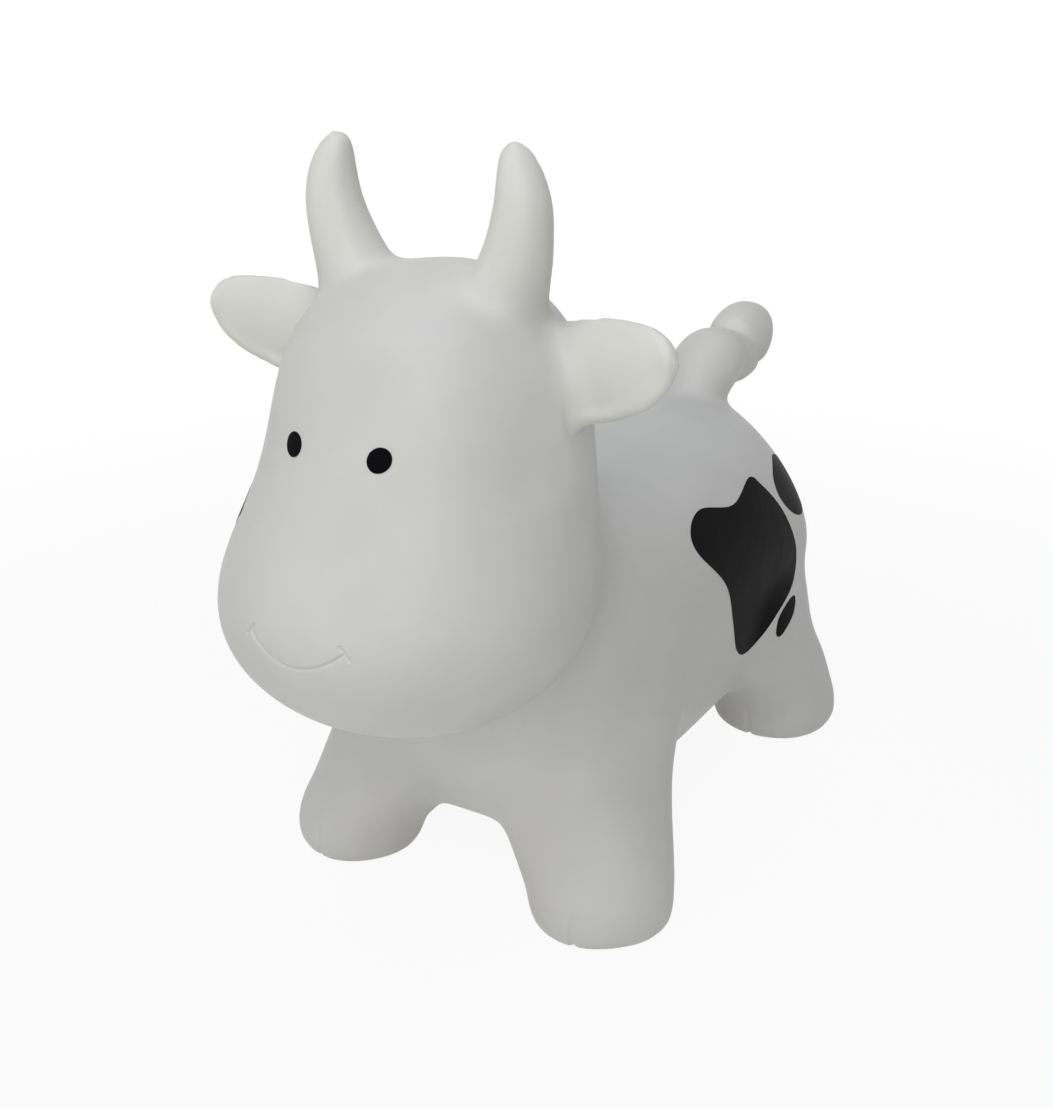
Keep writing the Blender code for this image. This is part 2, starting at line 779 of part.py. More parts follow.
def make_flexing_pieces(shell, finish):
    half = SEAM_GAP / 2
    for word, side in SIDES.items():
        horn = cut(copy_of(shell, "horn"), horn_wedge(side, half), "INTERSECT")
        finished(horn, f"horn_{word}", finish, horn_pivot(side))
        ear = cut(copy_of(shell, "ear"), ear_wedge(side, half), "INTERSECT")
        finished(ear, f"ear_{word}", finish, ear_pivot(side))
        for place, end in ENDS.items():
            leg = cut(copy_of(shell, "leg"), leg_drum(side, end, -half), "INTERSECT")
            finished(leg, f"leg_{place}_{word}", finish, leg_centre(side, end))
    tail = cut(copy_of(shell, "tail"), tail_wedge(half), "INTERSECT")
    finished(tail, "tail", finish, tail_pivot())


def make_head(shell, finish):
    half = SEAM_GAP / 2
    head = cut(copy_of(shell, "head"), head_side(half), "INTERSECT")
    for side in SIDES.values():
        head = cut(head, horn_wedge(side, -half), "DIFFERENCE")
        head = cut(head, ear_wedge(side, -half), "DIFFERENCE")
    finished(head, "head_shell", finish)


def belly_height(skin):
    """The height of the belly's underside at the valve."""
    bm = bmesh.new()
    bm.from_mesh(skin.data)
    tree = BVHTree.FromBMesh(bm)
    bm.free()
    place = tree.ray_cast(VALVE_CENTRE, Z_AXIS)[0]
    return place.z


def make_torso(shell, finish, belly):
    half = SEAM_GAP / 2
    torso = cut(copy_of(shell, "torso"), head_side(-half), "DIFFERENCE")
    torso = cut(torso, tail_wedge(-half), "DIFFERENCE")
    for side in SIDES.values():
        for end in ENDS.values():
            torso = cut(torso, leg_drum(side, end, half), "DIFFERENCE")
    under = belly - VALVE_PAD_STANDOFF
    torso = cut(torso, drum(VALVE_CENTRE, VALVE_PAD_RADIUS, under, under + VALVE_PAD), "UNION")
    bore = drum(VALVE_CENTRE, VALVE_NECK_RADIUS + SEAM_GAP, under - OVERRUN, under + OVERRUN)
    torso = cut(torso, bore, "DIFFERENCE")
    finished(torso, "torso_shell", finish)


def turned(name, outline, finish, pivot):
    """A solid of revolution about the upright axis through pivot, from an outline of radius and height."""
    bm = bmesh.new()
    verts = [bm.verts.new((radius, 0, height)) for radius, height in outline]
    edges = [bm.edges.new(pair) for pair in zip(verts, verts[1:])]
    if outline[0][0] > 0:
        edges.append(bm.edges.new((verts[-1], verts[0])))
    bmesh.ops.spin(
        bm, geom=verts + edges, angle=math.tau, steps=TURNED_STEPS, axis=Z_AXIS, cent=(0, 0, 0), use_duplicate=False
    )
    bmesh.ops.remove_doubles(bm, verts=bm.verts, dist=MERGE_DISTANCE)
    bmesh.ops.recalc_face_normals(bm, faces=bm.faces)
    obj = new_object(name, mesh_from(bm, name), finish)
    obj.location = pivot
    obj.data.shade_smooth()
    obj.data.set_sharp_from_angle(angle=SHARP_ANGLE)
    return obj


def make_valve(belly, seat_finish, plug_finish):
    seat_z = belly - VALVE_PAD_STANDOFF - SEAM_GAP
    above_pad = VALVE_PAD + 2 * SEAM_GAP
    seat_outline = [
        (VALVE_BORE_RADIUS, -VALVE_FLANGE),
        (VALVE_FLANGE_RADIUS - VALVE_BEVEL, -VALVE_FLANGE),
        (VALVE_FLANGE_RADIUS, VALVE_BEVEL - VALVE_FLANGE),
        (VALVE_FLANGE_RADIUS, 0),
        (VALVE_NECK_RADIUS, 0),
        (VALVE_NECK_RADIUS, above_pad),
        (VALVE_LIP_RADIUS, above_pad),
        (VALVE_LIP_RADIUS, above_pad + VALVE_LIP),
        (VALVE_BORE_RADIUS, above_pad + VALVE_LIP),
    ]
    turned("valve_seat", seat_outline, seat_finish, VALVE_CENTRE + Z_AXIS * seat_z)
    stem = VALVE_BORE_RADIUS - SEAM_GAP
    tip = stem * PLUG_TAPER_SHARE
    plug_outline = [
        (0, PLUG_DISH - PLUG_HEAD),
        (PLUG_DISH_RADIUS, PLUG_DISH - PLUG_HEAD),
        (PLUG_DISH_RADIUS + PLUG_DISH, -PLUG_HEAD),
        (PLUG_HEAD_RADIUS - VALVE_BEVEL, -PLUG_HEAD),
        (PLUG_HEAD_RADIUS, VALVE_BEVEL - PLUG_HEAD),
        (PLUG_HEAD_RADIUS, 0),
        (stem, 0),
        (stem, PLUG_STEM * PLUG_TAPER_SHARE),
        (tip, PLUG_STEM),
        (0, PLUG_STEM),
    ]
    plug_z = seat_z - VALVE_FLANGE - SEAM_GAP
    turned("valve_plug", plug_outline, plug_finish, VALVE_CENTRE + Z_AXIS * plug_z)


def make_eyes(sheet, finish):
    height = CHIN_CLEARANCE + EYE_HEIGHT
    for word, side in SIDES.items():
        bm = bmesh.new()
        place = Vector((side * EYE_SPACING / 2, MUZZLE_Y, height))
        turn = Matrix.Rotation(math.radians(90), 4, "X")
        bmesh.ops.create_cone(
            bm,
            cap_ends=True,
            segments=TURNED_STEPS,
            radius1=EYE_RADIUS,
            radius2=EYE_RADIUS,
            depth=HEAD_DEPTH,
            matrix=Matrix.Translation(place) @ turn,
        )
        tool = guide(new_object("eye tool", mesh_from(bm, "eye tool")))
        eye = cut(copy_of(sheet, "eye"), tool, "INTERSECT")
        finished(eye, f"eye_{word}", finish)


def closed_curve(points):
    """A smooth closed outline through hand-chosen points."""
    rows = np.array(points, float)
    count = len(rows)
    out = []
    for i in range(count):
        before, here, there, after = (rows[(i + k) % count] for k in (-1, 0, 1, 2))
        for step in range(PATCH_STEPS):
            t = step / PATCH_STEPS
            bend = 2 * before - 5 * here + 4 * there - after
            twist = 3 * here - before - 3 * there + after
            out.append(here + ((there - before) * t + bend * t**2 + twist * t**3) / 2)
    return out


def make_patch(name, sheet, side, corner, extent, outline, finish):
    """Cuts a patch from the sheet: outline is in shares of extent (length, height) from corner (y, z)."""
    near = side * TORSO_WIDTH * PATCH_START_SHARE
    far = side * TORSO_WIDTH
    bm = bmesh.new()
    rim = []
    for along, up in closed_curve(outline):
        rim.append(bm.verts.new((near, corner[0] + along * extent[0], corner[1] + up * extent[1])))
    face = bm.faces.new(rim)
    grown = bmesh.ops.extrude_face_region(bm, geom=[face])["geom"]
    moved = [v for v in grown if isinstance(v, bmesh.types.BMVert)]
    bmesh.ops.translate(bm, verts=moved, vec=(far - near, 0, 0))
    bmesh.ops.recalc_face_normals(bm, faces=bm.faces)
    tool = guide(new_object("patch tool", mesh_from(bm, "patch tool")))
    patch = cut(copy_of(sheet, "patch"), tool, "INTERSECT")
    finished(patch, name, finish)


def make_patches(sheet, finish):
    torso_corner = (TORSO_FRONT_Y, BELLY_CLEARANCE)
    torso_extent = (TORSO_LENGTH, TORSO_HEIGHT)
    on_torso = {
        "patch_flank_left": (1, LEFT_FLANK_PATCH_SHARES),
        "patch_hip_left": (1, LEFT_HIP_PATCH_SHARES),
        "patch_rump_left": (1, LEFT_RUMP_PATCH_SHARES),
        "patch_flank_right": (-1, RIGHT_FLANK_PATCH_SHARES),
    }
    for name, (side, outline) in on_torso.items():
        make_patch(name, sheet, side, torso_corner, torso_extent, outline, finish)
    head_corner = (MUZZLE_Y, CHIN_CLEARANCE)
    head_extent = (HEAD_DEPTH, HEAD_HEIGHT)
    make_patch("patch_cheek_right", sheet, -1, head_corner, head_extent, RIGHT_CHEEK_PATCH_SHARES, finish)


def main():
    clear_scene()
    white_skin = material("white PVC skin", (0.80, 0.81, 0.80), 0.42)
    warm_skin = material("warm white PVC", (0.78, 0.77, 0.74), 0.45)
    black_paint = material("black paint", (0.02, 0.02, 0.022), 0.35)
    valve_rubber = material("clear valve rubber", (0.62, 0.64, 0.64), 0.40)
    plug_plastic = material("white valve plug", (0.85, 0.85, 0.83), 0.45)
    outer, inner = both_surfaces()
    shell = hollow(outer, inner)
    sheet = film(outer)
    belly = belly_height(outer)
    make_torso(shell, white_skin, belly)
    make_head(shell, white_skin)
    make_flexing_pieces(shell, warm_skin)
    make_valve(belly, valve_rubber, plug_plastic)
    make_eyes(sheet, black_paint)
    make_patches(sheet, black_paint)
    for helper in (outer, inner, shell, sheet):
        bpy.data.objects.remove(helper)


main()
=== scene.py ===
"""Bouncy ride-on cow, dressed for its picture: one smooth moulded PVC skin with its ears dished, its mouth
and toes engraved and its eyes and patches painted on. Metres, +Z up, nose towards -Y, left side +X."""

import math

import bmesh
import bpy
import numpy as np
from mathutils import Matrix, Vector
from mathutils.bvhtree import BVHTree
from mathutils.kdtree import KDTree


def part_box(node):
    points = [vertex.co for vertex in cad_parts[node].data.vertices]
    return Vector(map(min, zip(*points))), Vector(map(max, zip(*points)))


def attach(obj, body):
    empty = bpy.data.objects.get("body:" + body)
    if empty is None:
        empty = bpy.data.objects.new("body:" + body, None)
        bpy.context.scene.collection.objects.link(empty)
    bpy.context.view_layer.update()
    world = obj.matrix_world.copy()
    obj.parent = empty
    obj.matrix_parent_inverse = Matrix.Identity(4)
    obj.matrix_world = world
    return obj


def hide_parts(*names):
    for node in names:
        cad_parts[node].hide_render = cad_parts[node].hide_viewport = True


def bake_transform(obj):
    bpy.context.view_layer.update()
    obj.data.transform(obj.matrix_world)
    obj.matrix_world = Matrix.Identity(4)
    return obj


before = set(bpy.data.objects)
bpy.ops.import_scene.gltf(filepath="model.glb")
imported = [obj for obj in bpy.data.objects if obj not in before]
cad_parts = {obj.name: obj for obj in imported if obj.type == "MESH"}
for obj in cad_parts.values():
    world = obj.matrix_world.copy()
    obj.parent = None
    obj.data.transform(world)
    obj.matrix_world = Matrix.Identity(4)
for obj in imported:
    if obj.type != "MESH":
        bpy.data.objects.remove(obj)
bpy.context.view_layer.update()

# Skin
SKIN_CELL = 0.0032
SMOOTH_PASSES = 35
HOLLOW_PASSES = 83
HOLLOW_HEIGHTS = (0.030, 0.130)
HOLLOW_FADE = 0.025
SOLE_FLAT_DEPTH = 0.0008
MERGE_DISTANCE = 0.00001
SOFTEN_PASSES = 6
SOFTEN_SHARE = 0.5
GROOVE_REACH_SHARE = 4
STEPS_BETWEEN_STATIONS = 4
RING_POINTS = 64

# Torso: a barrel along Y
TORSO_LENGTH = 0.440
TORSO_WIDTH = 0.224
TORSO_HEIGHT = 0.232
BELLY_CLEARANCE = 0.040
BELLY_SQUARENESS_SHARE = 1.26
BELLY_LEAST_SQUARENESS = 2.36

# Head: an egg that overhangs the chest
HEAD_HEIGHT = 0.267
HEAD_WIDTH = 0.230
HEAD_DEPTH = 0.239
CHIN_CLEARANCE = 0.164
MUZZLE_OVERHANG = 0.130

# Legs
LEG_RADIUS = 0.050
LEG_HEIGHT = 0.165
LEG_SPREAD = 0.187
FRONT_LEG_INSET = 0.058
REAR_LEG_INSET = 0.060
LEG_SQUARENESS_SHARE = 2.2
FOOT_TURN_ANGLE = math.radians(40)

# Horns
HORN_LENGTH = 0.1035
HORN_RADIUS = 0.026
HORN_ROOT_SPACING = 0.094
HORN_ROOT_DEPTH = 0.031
HORN_SETBACK = 0.143
HORN_BOW = 0.0175
HORN_LEAN = 0.0055

# Ears
EAR_LENGTH = 0.0925
EAR_WIDTH = 0.060
EAR_THICKNESS = 0.026
EAR_ROOT_SPACING = 0.140
EAR_ROOT_HEIGHT = 0.209
EAR_SETBACK = 0.156
EAR_RISE = 0.025
EAR_SWEEP = 0.0245
EAR_DISH = 0.0040
EAR_DISH_START_SHARES = (0.16, 0.40)
EAR_SOFTEN_START_SHARE = 0.1
EAR_DISH_FACING_SHARES = (0.05, 0.60)
EAR_RIM = (0.0025, 0.0105)
EAR_CREASE_OUT = 0.026
EAR_CREASE_HALF_DEPTH = 0.014
EAR_CREASE_WIDTH = 0.0045
EAR_CREASE_DEPTH = 0.0030
EAR_CREASE_FADE = EAR_WIDTH / 3

# Tail: a fat stub with a round tuft
TAIL_REACH = 0.129
TAIL_RISE = 0.080
TAIL_RADIUS = 0.030
TAIL_ROOT_INSET = 0.044
TAIL_ROOT_DEPTH = 0.047
TAIL_CREASE_REACH_SHARE = 0.60
TAIL_CREASE_RISE_SHARE = 0.80
TAIL_CREASE_TILT = math.radians(-40)
TAIL_CREASE_WIDTH = 0.0050
TAIL_CREASE_DEPTH = 0.0042
CREASE_CELL = 0.0016

# Engraved mouth, with a small crossing tick at each end
MOUTH_HALF_WIDTH = 0.0325
MOUTH_DROP = 0.0138
MOUTH_HEIGHT = 0.0693
MOUTH_TICK = 0.0028
MOUTH_TICK_SLOPE = 1.2
MOUTH_GROOVE_WIDTH = 0.0009
MOUTH_GROOVE_DEPTH = 0.0012
MOUTH_CELL = 0.0005

# Engraved toe line on the front of each foot
TOE_OFFSETS = {"front": 0.009, "rear": -0.003}
TOE_RISE = 0.034
TOE_FULL_RISE = TOE_RISE / 3
TOE_GROOVE_WIDTH = 0.0019
TOE_GROOVE_DEPTH = 0.0017
TOE_CELL = 0.0008

# Eyes and painted patches
FILM = 0.0006
FILM_SINK = 0.0003
EYE_RADIUS = 0.0067
EYE_SPACING = 0.058
EYE_HEIGHT = 0.179
PATCH_START_SHARE = 0.15
PATCH_STEPS = 8
PATCH_MARGIN = 0.012
OUTLINE_STEPS = 48
SHARP_ANGLE = math.radians(45)

# Raised pad under the belly, with a pocket for the valve
VALVE_FLANGE = 0.0014
VALVE_SEAT_GAP = 0.0003
VALVE_PAD_RADIUS = 0.0150
VALVE_PAD_FILLET = 0.0025
VALVE_POCKET_RADIUS = 0.0090
VALVE_POCKET_SLOPE = 0.0008
VALVE_POCKET_DEPTH = 0.0120
VALVE_CELL = 0.0005

# Where the skin is parted, so that each horn, each ear, each foot and the tail is a piece of its own
HORN_PART_RISE = 0.004
EAR_PART = 0.108
EAR_PART_LOW = 0.300
TAIL_PART_INSET = 0.0205
TAIL_PART_DEPTH = 0.010
TAIL_PART_TILT = math.radians(37)
FOOT_PART_HEIGHT = 0.038

# Places that follow from the sizes above
TAIL_OVERHANG = TAIL_REACH - TAIL_ROOT_INSET
OVERALL_LENGTH = MUZZLE_OVERHANG + TORSO_LENGTH + TAIL_OVERHANG
MUZZLE_Y = -OVERALL_LENGTH / 2
TORSO_FRONT_Y = MUZZLE_Y + MUZZLE_OVERHANG
TORSO_REAR_Y = TORSO_FRONT_Y + TORSO_LENGTH
TORSO_CENTRE_Z = BELLY_CLEARANCE + TORSO_HEIGHT / 2
BACK_Z = BELLY_CLEARANCE + TORSO_HEIGHT
CROWN_Z = CHIN_CLEARANCE + HEAD_HEIGHT
HORN_Y = MUZZLE_Y + HORN_SETBACK
EAR_Y = MUZZLE_Y + EAR_SETBACK
EAR_Z = CHIN_CLEARANCE + EAR_ROOT_HEIGHT
TAIL_ROOT_Y = TORSO_REAR_Y - TAIL_ROOT_INSET
TAIL_ROOT_Z = BACK_Z - TAIL_ROOT_DEPTH

# Stations along the torso: along its length, rise of its height, half width, half height, squareness
TORSO_STATION_SHARES = [
    (0.000, 0.043, 0.10, 0.10, 2.00),
    (0.014, 0.030, 0.38, 0.38, 2.00),
    (0.043, 0.015, 0.63, 0.66, 2.10),
    (0.098, -0.005, 0.83, 0.89, 2.30),
    (0.180, -0.008, 0.93, 0.97, 2.40),
    (0.316, 0.000, 0.98, 1.00, 2.45),
    (0.498, 0.000, 1.00, 1.00, 2.45),
    (0.680, 0.000, 1.00, 0.99, 2.40),
    (0.793, 0.010, 0.99, 0.985, 2.02),
    (0.873, 0.015, 0.97, 0.965, 1.66),
    (0.934, 0.015, 0.86, 0.880, 1.58),
    (0.973, -0.010, 0.63, 0.66, 1.90),
    (0.993, -0.028, 0.35, 0.37, 2.00),
    (1.000, -0.030, 0.11, 0.11, 2.00),
]

# Stations up the head: up its height, front and back of its depth, half width
HEAD_STATION_SHARES = [
    (0.000, 0.331, 0.464, 0.10),
    (0.015, 0.255, 0.573, 0.33),
    (0.049, 0.172, 0.682, 0.58),
    (0.105, 0.088, 0.787, 0.785),
    (0.180, 0.025, 0.862, 0.93),
    (0.262, 0.000, 0.916, 1.00),
    (0.348, 0.013, 0.954, 1.00),
    (0.438, 0.059, 0.979, 0.95),
    (0.528, 0.117, 0.996, 0.89),
    (0.622, 0.163, 1.000, 0.845),
    (0.715, 0.197, 0.996, 0.815),
    (0.809, 0.238, 0.965, 0.77),
    (0.884, 0.289, 0.912, 0.675),
    (0.940, 0.360, 0.855, 0.54),
    (0.981, 0.444, 0.790, 0.37),
    (1.000, 0.540, 0.732, 0.14),
]

# Stations up a leg: up its height; of its radius: drawn in, drawn to the belly, half width, half length;
# and how much of the foot's turn it has
FRONT_LEG_STATION_SHARES = [
    (0.000, -0.13, -0.18, 0.80, 0.74, 1.00),
    (0.009, -0.13, -0.18, 0.88, 0.82, 1.00),
    (0.042, -0.13, -0.18, 0.96, 0.90, 1.00),
    (0.152, -0.06, -0.10, 1.00, 0.94, 1.00),
    (0.273, 0.17, 0.12, 1.11, 1.04, 0.80),
    (0.376, 0.34, 0.26, 1.17, 1.10, 0.40),
    (0.485, 0.51, 0.41, 1.22, 1.22, 0.00),
    (0.606, 0.67, 0.69, 1.25, 1.50, 0.00),
    (0.739, 0.76, 1.04, 1.22, 1.76, 0.00),
    (0.879, 0.84, 1.20, 1.10, 1.74, 0.00),
    (1.000, 0.95, 0.98, 0.80, 1.14, 0.00),
]
REAR_LEG_STATION_SHARES = [
    (0.000, 0.00, 0.06, 0.82, 0.86, 0.00),
    (0.009, 0.00, 0.06, 0.91, 0.95, 0.00),
    (0.042, 0.00, 0.06, 0.99, 1.04, 0.00),
    (0.152, 0.03, 0.10, 1.00, 1.06, 0.00),
    (0.273, 0.11, 0.25, 1.00, 1.13, 0.00),
    (0.376, 0.21, 0.45, 1.04, 1.34, 0.00),
    (0.485, 0.40, 0.72, 1.10, 1.54, 0.00),
    (0.606, 0.53, 0.90, 1.15, 1.72, 0.00),
    (0.739, 0.63, 1.00, 1.19, 1.86, 0.00),
    (0.879, 0.74, 1.08, 1.13, 1.80, 0.00),
    (1.000, 0.87, 1.20, 0.85, 1.46, 0.00),
]

# Stations along a horn: up its length, of its bow, of its lean, of its radius
HORN_STATION_SHARES = [
    (0.000, 0.00, 0.00, 1.00),
    (0.193, 0.29, 0.18, 0.92),
    (0.367, 0.66, 0.36, 0.81),
    (0.531, 0.91, 0.73, 0.72),
    (0.676, 1.00, 0.91, 0.65),
    (0.812, 0.89, 1.00, 0.55),
    (0.918, 0.69, 0.91, 0.42),
    (0.976, 0.57, 0.73, 0.29),
    (1.000, 0.57, 0.73, 0.10),
]

# Stations along an ear: out its length, of its sweep, of its rise, of its width, of its thickness
EAR_STATION_SHARES = [
    (0.000, 0.00, 0.00, 0.96, 1.00),
    (0.200, 0.16, 0.14, 1.04, 0.85),
    (0.389, 0.37, 0.31, 1.05, 0.77),
    (0.578, 0.57, 0.52, 1.00, 0.77),
    (0.756, 0.78, 0.74, 0.86, 0.73),
    (0.889, 0.90, 0.92, 0.63, 0.65),
    (0.967, 0.98, 1.02, 0.36, 0.54),
    (1.000, 1.00, 1.06, 0.10, 0.24),
]

# Stations along the tail: of its reach, of its rise, then half width and half height of its radius
TAIL_STATION_SHARES = [
    (-0.140, 0.000, 0.76, 0.68),
    (-0.130, 0.320, 0.80, 0.70),
    (-0.060, 0.540, 0.88, 0.80),
    (0.070, 0.720, 0.99, 0.89),
    (0.215, 0.815, 0.97, 0.90),
    (0.370, 0.795, 0.79, 0.77),
    (0.500, 0.780, 0.83, 0.94),
    (0.630, 0.855, 0.88, 1.04),
    (0.770, 0.940, 0.86, 0.97),
    (0.880, 1.000, 0.70, 0.70),
    (0.960, 1.030, 0.42, 0.40),
    (1.000, 1.040, 0.12, 0.10),
]

# Outlines of the painted patches on the torso: along its length, up its height
LEFT_FLANK_PATCH_SHARES = [
    (0.678, 0.841),
    (0.578, 0.810),
    (0.478, 0.849),
    (0.418, 0.820),
    (0.413, 0.754),
    (0.485, 0.612),
    (0.515, 0.466),
    (0.545, 0.345),
    (0.601, 0.302),
    (0.690, 0.379),
    (0.790, 0.444),
    (0.808, 0.520),
    (0.769, 0.668),
    (0.710, 0.800),
]
LEFT_HIP_PATCH_SHARES = [
    (0.768, 0.388),
    (0.736, 0.390),
    (0.694, 0.362),
    (0.680, 0.316),
    (0.690, 0.295),
    (0.718, 0.313),
    (0.752, 0.345),
]
LEFT_RUMP_PATCH_SHARES = [
    (0.788, 0.800),
    (0.765, 0.765),
    (0.772, 0.715),
    (0.815, 0.650),
    (0.870, 0.618),
    (0.926, 0.640),
    (0.950, 0.690),
    (0.945, 0.740),
    (0.910, 0.785),
    (0.850, 0.820),
]
RIGHT_FLANK_PATCH_SHARES = [
    (0.330, 0.800),
    (0.430, 0.840),
    (0.520, 0.780),
    (0.600, 0.700),
    (0.630, 0.600),
    (0.580, 0.500),
    (0.500, 0.460),
    (0.460, 0.380),
    (0.380, 0.330),
    (0.310, 0.380),
    (0.300, 0.500),
    (0.260, 0.600),
    (0.270, 0.720),
]

# Outline of the painted patch on the right cheek: along the head's depth, up its height
RIGHT_CHEEK_PATCH_SHARES = [
    (0.250, 0.465),
    (0.275, 0.490),
    (0.360, 0.525),
    (0.480, 0.510),
    (0.575, 0.450),
    (0.570, 0.370),
    (0.480, 0.330),
    (0.380, 0.355),
    (0.310, 0.405),
]

# The photograph's view
CAMERA_PLACE = Vector((0.46374, -0.85523, 0.57301))
CAMERA_AZIMUTH = math.radians(30.79)
CAMERA_ELEVATION = math.radians(21.54)
CAMERA_LENS = 45.97
CAMERA_SENSOR = 36
CAMERA_CLIP = (0.01, 100)

# Rotomoulded PVC: the size of its clouds, ripples and grain, and how deep they are
PVC_LIGHT = "#DAD9D5"
PVC_SHADE = "#D5D4D0"
PVC_WARM_LIGHT = "#E8E7E1"
PVC_WARM_SHADE = "#E3E2DC"
PVC_ROUGHNESS = (0.44, 0.54)
PVC_IOR = 1.53
PVC_CLOUD = 0.060
PVC_CLOUD_DETAIL = 3
PVC_GLOSS_CLOUD = PVC_CLOUD / 3
PVC_RIPPLE = 0.030
PVC_RIPPLE_DEPTH = 0.0006
PVC_GRAIN = 0.0012
PVC_GRAIN_DEPTH = 0.00006

# Black vinyl paint
PAINT_DARK = "#08080A"
PAINT_LIGHT = "#101013"
PAINT_ROUGHNESS = (0.38, 0.50)
PAINT_IOR = 1.50
PAINT_SPECULAR = 0.02
PAINT_CLOUD = 0.035

# Valve: a softened PVC seat and a polyethylene plug
VALVE_FLOW = 0.008
VALVE_ROUGHNESS = (0.32, 0.46)
VALVE_RIPPLE_DEPTH = 0.00005
VALVE_IOR = 1.52
SEAT_SHADE = "#9EA3A3"
SEAT_LIGHT = "#B2B6B6"
PLUG_SHADE = "#C9CAC7"
PLUG_LIGHT = "#D6D6D3"

# Sockets of a colour mix node, and where the clouds of the noise start and end
MIX_SHARE = 0
MIX_FIRST = 6
MIX_SECOND = 7
MIX_RESULT = 2
CLOUD_RANGE = (0.35, 0.65)

# Room, floor and lamps
WHITE = "#FFFFFF"
ROOM_COLOUR = "#F8FAFF"
ROOM_STRENGTH = 0.15
FLOOR_COLOUR = "#F0F0F0"
FLOOR_SIZE = 12
FLOOR_FADE = (0.35, 1.3)
FLOOR_GLOW_SHARE = 0.92
LAMP_SIZE = 1.6
LAMP_DISTANCE = 2.4

# Soft square lamps: azimuth and elevation in degrees, watts and tint
LAMPS = {
    "front_lamp": (30, 25, 16.6, "#FFFEFB"),
    "low_lamp": (-35, 12, 8.3, "#FFFEFB"),
    "top_lamp": (0, 70, 19.2, "#F2F7FF"),
    "back_lamp": (180, 60, 3.5, "#F2F7FF"),
}

SIDES = {"left": 1, "right": -1}
ENDS = {"front": -1, "rear": 1}

X_AXIS = Vector((1, 0, 0))
Y_AXIS = Vector((0, 1, 0))
Z_AXIS = Vector((0, 0, 1))


def colour(code):
    """The linear colour of an sRGB hex code."""
    parts = [int(code[i : i + 2], 16) / 255 for i in (1, 3, 5)]
    return (*[p / 12.92 if p <= 0.04045 else ((p + 0.055) / 1.055) ** 2.4 for p in parts], 1)


def add_node(tree, kind, links=(), values=(), **settings):
    """Adds a node with its own settings; links are (input, socket) and values are (input, value)."""
    made = tree.nodes.new(kind)
    for name, value in settings.items():
        setattr(made, name, value)
    for name, value in values:
        made.inputs[name].default_value = value
    for name, socket in links:
        tree.links.new(socket, made.inputs[name])
    return made


def new_object(name, mesh, finish=None):
    obj = bpy.data.objects.new(name, mesh)
    bpy.context.scene.collection.objects.link(obj)
    if finish:
        mesh.materials.clear()
        mesh.materials.append(finish)
    return obj


def mesh_from(bm, name):
    mesh = bpy.data.meshes.new(name)
    bm.to_mesh(mesh)
    bm.free()
    return mesh


def bmesh_of(obj):
    bm = bmesh.new()
    bm.from_mesh(obj.data)
    return bm


def settled(obj, name):
    """Replaces an object by one that holds its mesh with its modifiers worked out."""
    graph = bpy.context.evaluated_depsgraph_get()
    mesh = bpy.data.meshes.new_from_object(obj.evaluated_get(graph), depsgraph=graph)
    bpy.data.objects.remove(obj)
    return new_object(name, mesh)


def smoothstep(low, high, value):
    share = min(1, max(0, (value - low) / (high - low)))
    return share * share * (3 - 2 * share)


def cubic(before, here, there, after, t):
    """One point of a smooth curve through given points."""
    bend = 2 * before - 5 * here + 4 * there - after
    twist = 3 * here - before - 3 * there + after
    return here + ((there - before) * t + bend * t**2 + twist * t**3) / 2


def smooth_stations(stations):
    rows = np.array(stations, float)
    last = len(rows) - 1
    out = []
    for i in range(last):
        around = rows[max(i - 1, 0)], rows[i], rows[i + 1], rows[min(i + 2, last)]
        out.extend(cubic(*around, step / STEPS_BETWEEN_STATIONS) for step in range(STEPS_BETWEEN_STATIONS))
    return [*out, rows[last]]


def closed_curve(points):
    rows = np.array(points, float)
    count = len(rows)
    out = []
    for i in range(count):
        around = [rows[(i + k) % count] for k in (-1, 0, 1, 2)]
        out.extend(cubic(*around, step / PATCH_STEPS) for step in range(PATCH_STEPS))
    return out


def rounded_power(value, power):
    return math.copysign(abs(value) ** power, value)


def loft_ring(bm, centre, across, along, half_across, half_along, squareness=2.0, squareness_below=None):
    """One closed ring of a loft: an ellipse, or a squarer outline where squareness is above 2."""
    ring = bmesh.ops.create_circle(bm, segments=RING_POINTS, radius=1)["verts"]
    for vertex in ring:
        square = squareness if vertex.co.y > 0 else squareness_below or squareness
        u = rounded_power(vertex.co.x, 2 / square) * half_across
        v = rounded_power(vertex.co.y, 2 / square) * half_along
        vertex.co = centre + across * u + along * v
    return ring


def loft(sections):
    """A closed solid through the sections, with a flat cap at each end."""
    bm = bmesh.new()
    edges = []
    for section in sections:
        members = set(loft_ring(bm, *section))
        edges.append(list({e for v in members for e in v.link_edges}))
    for near, far in zip(edges, edges[1:]):
        bmesh.ops.bridge_loops(bm, edges=near + far)
    for end in (edges[0], edges[-1]):
        bmesh.ops.contextual_create(bm, geom=end)
    bmesh.ops.recalc_face_normals(bm, faces=bm.faces)
    return mesh_from(bm, "lobe")


def path_loft(places, radii, across_hint):
    """A loft whose rings stand square to a path; across_hint sets which way the first radius points."""
    sections = []
    for i, (place, (wide, thick)) in enumerate(zip(places, radii)):
        ahead = places[min(i + 1, len(places) - 1)]
        behind = places[max(i - 1, 0)]
        along = (ahead - behind).normalized()
        thin_way = along.cross(across_hint).normalized()
        wide_way = thin_way.cross(along).normalized()
        sections.append((place, wide_way, thin_way, wide, thick))
    return loft(sections)


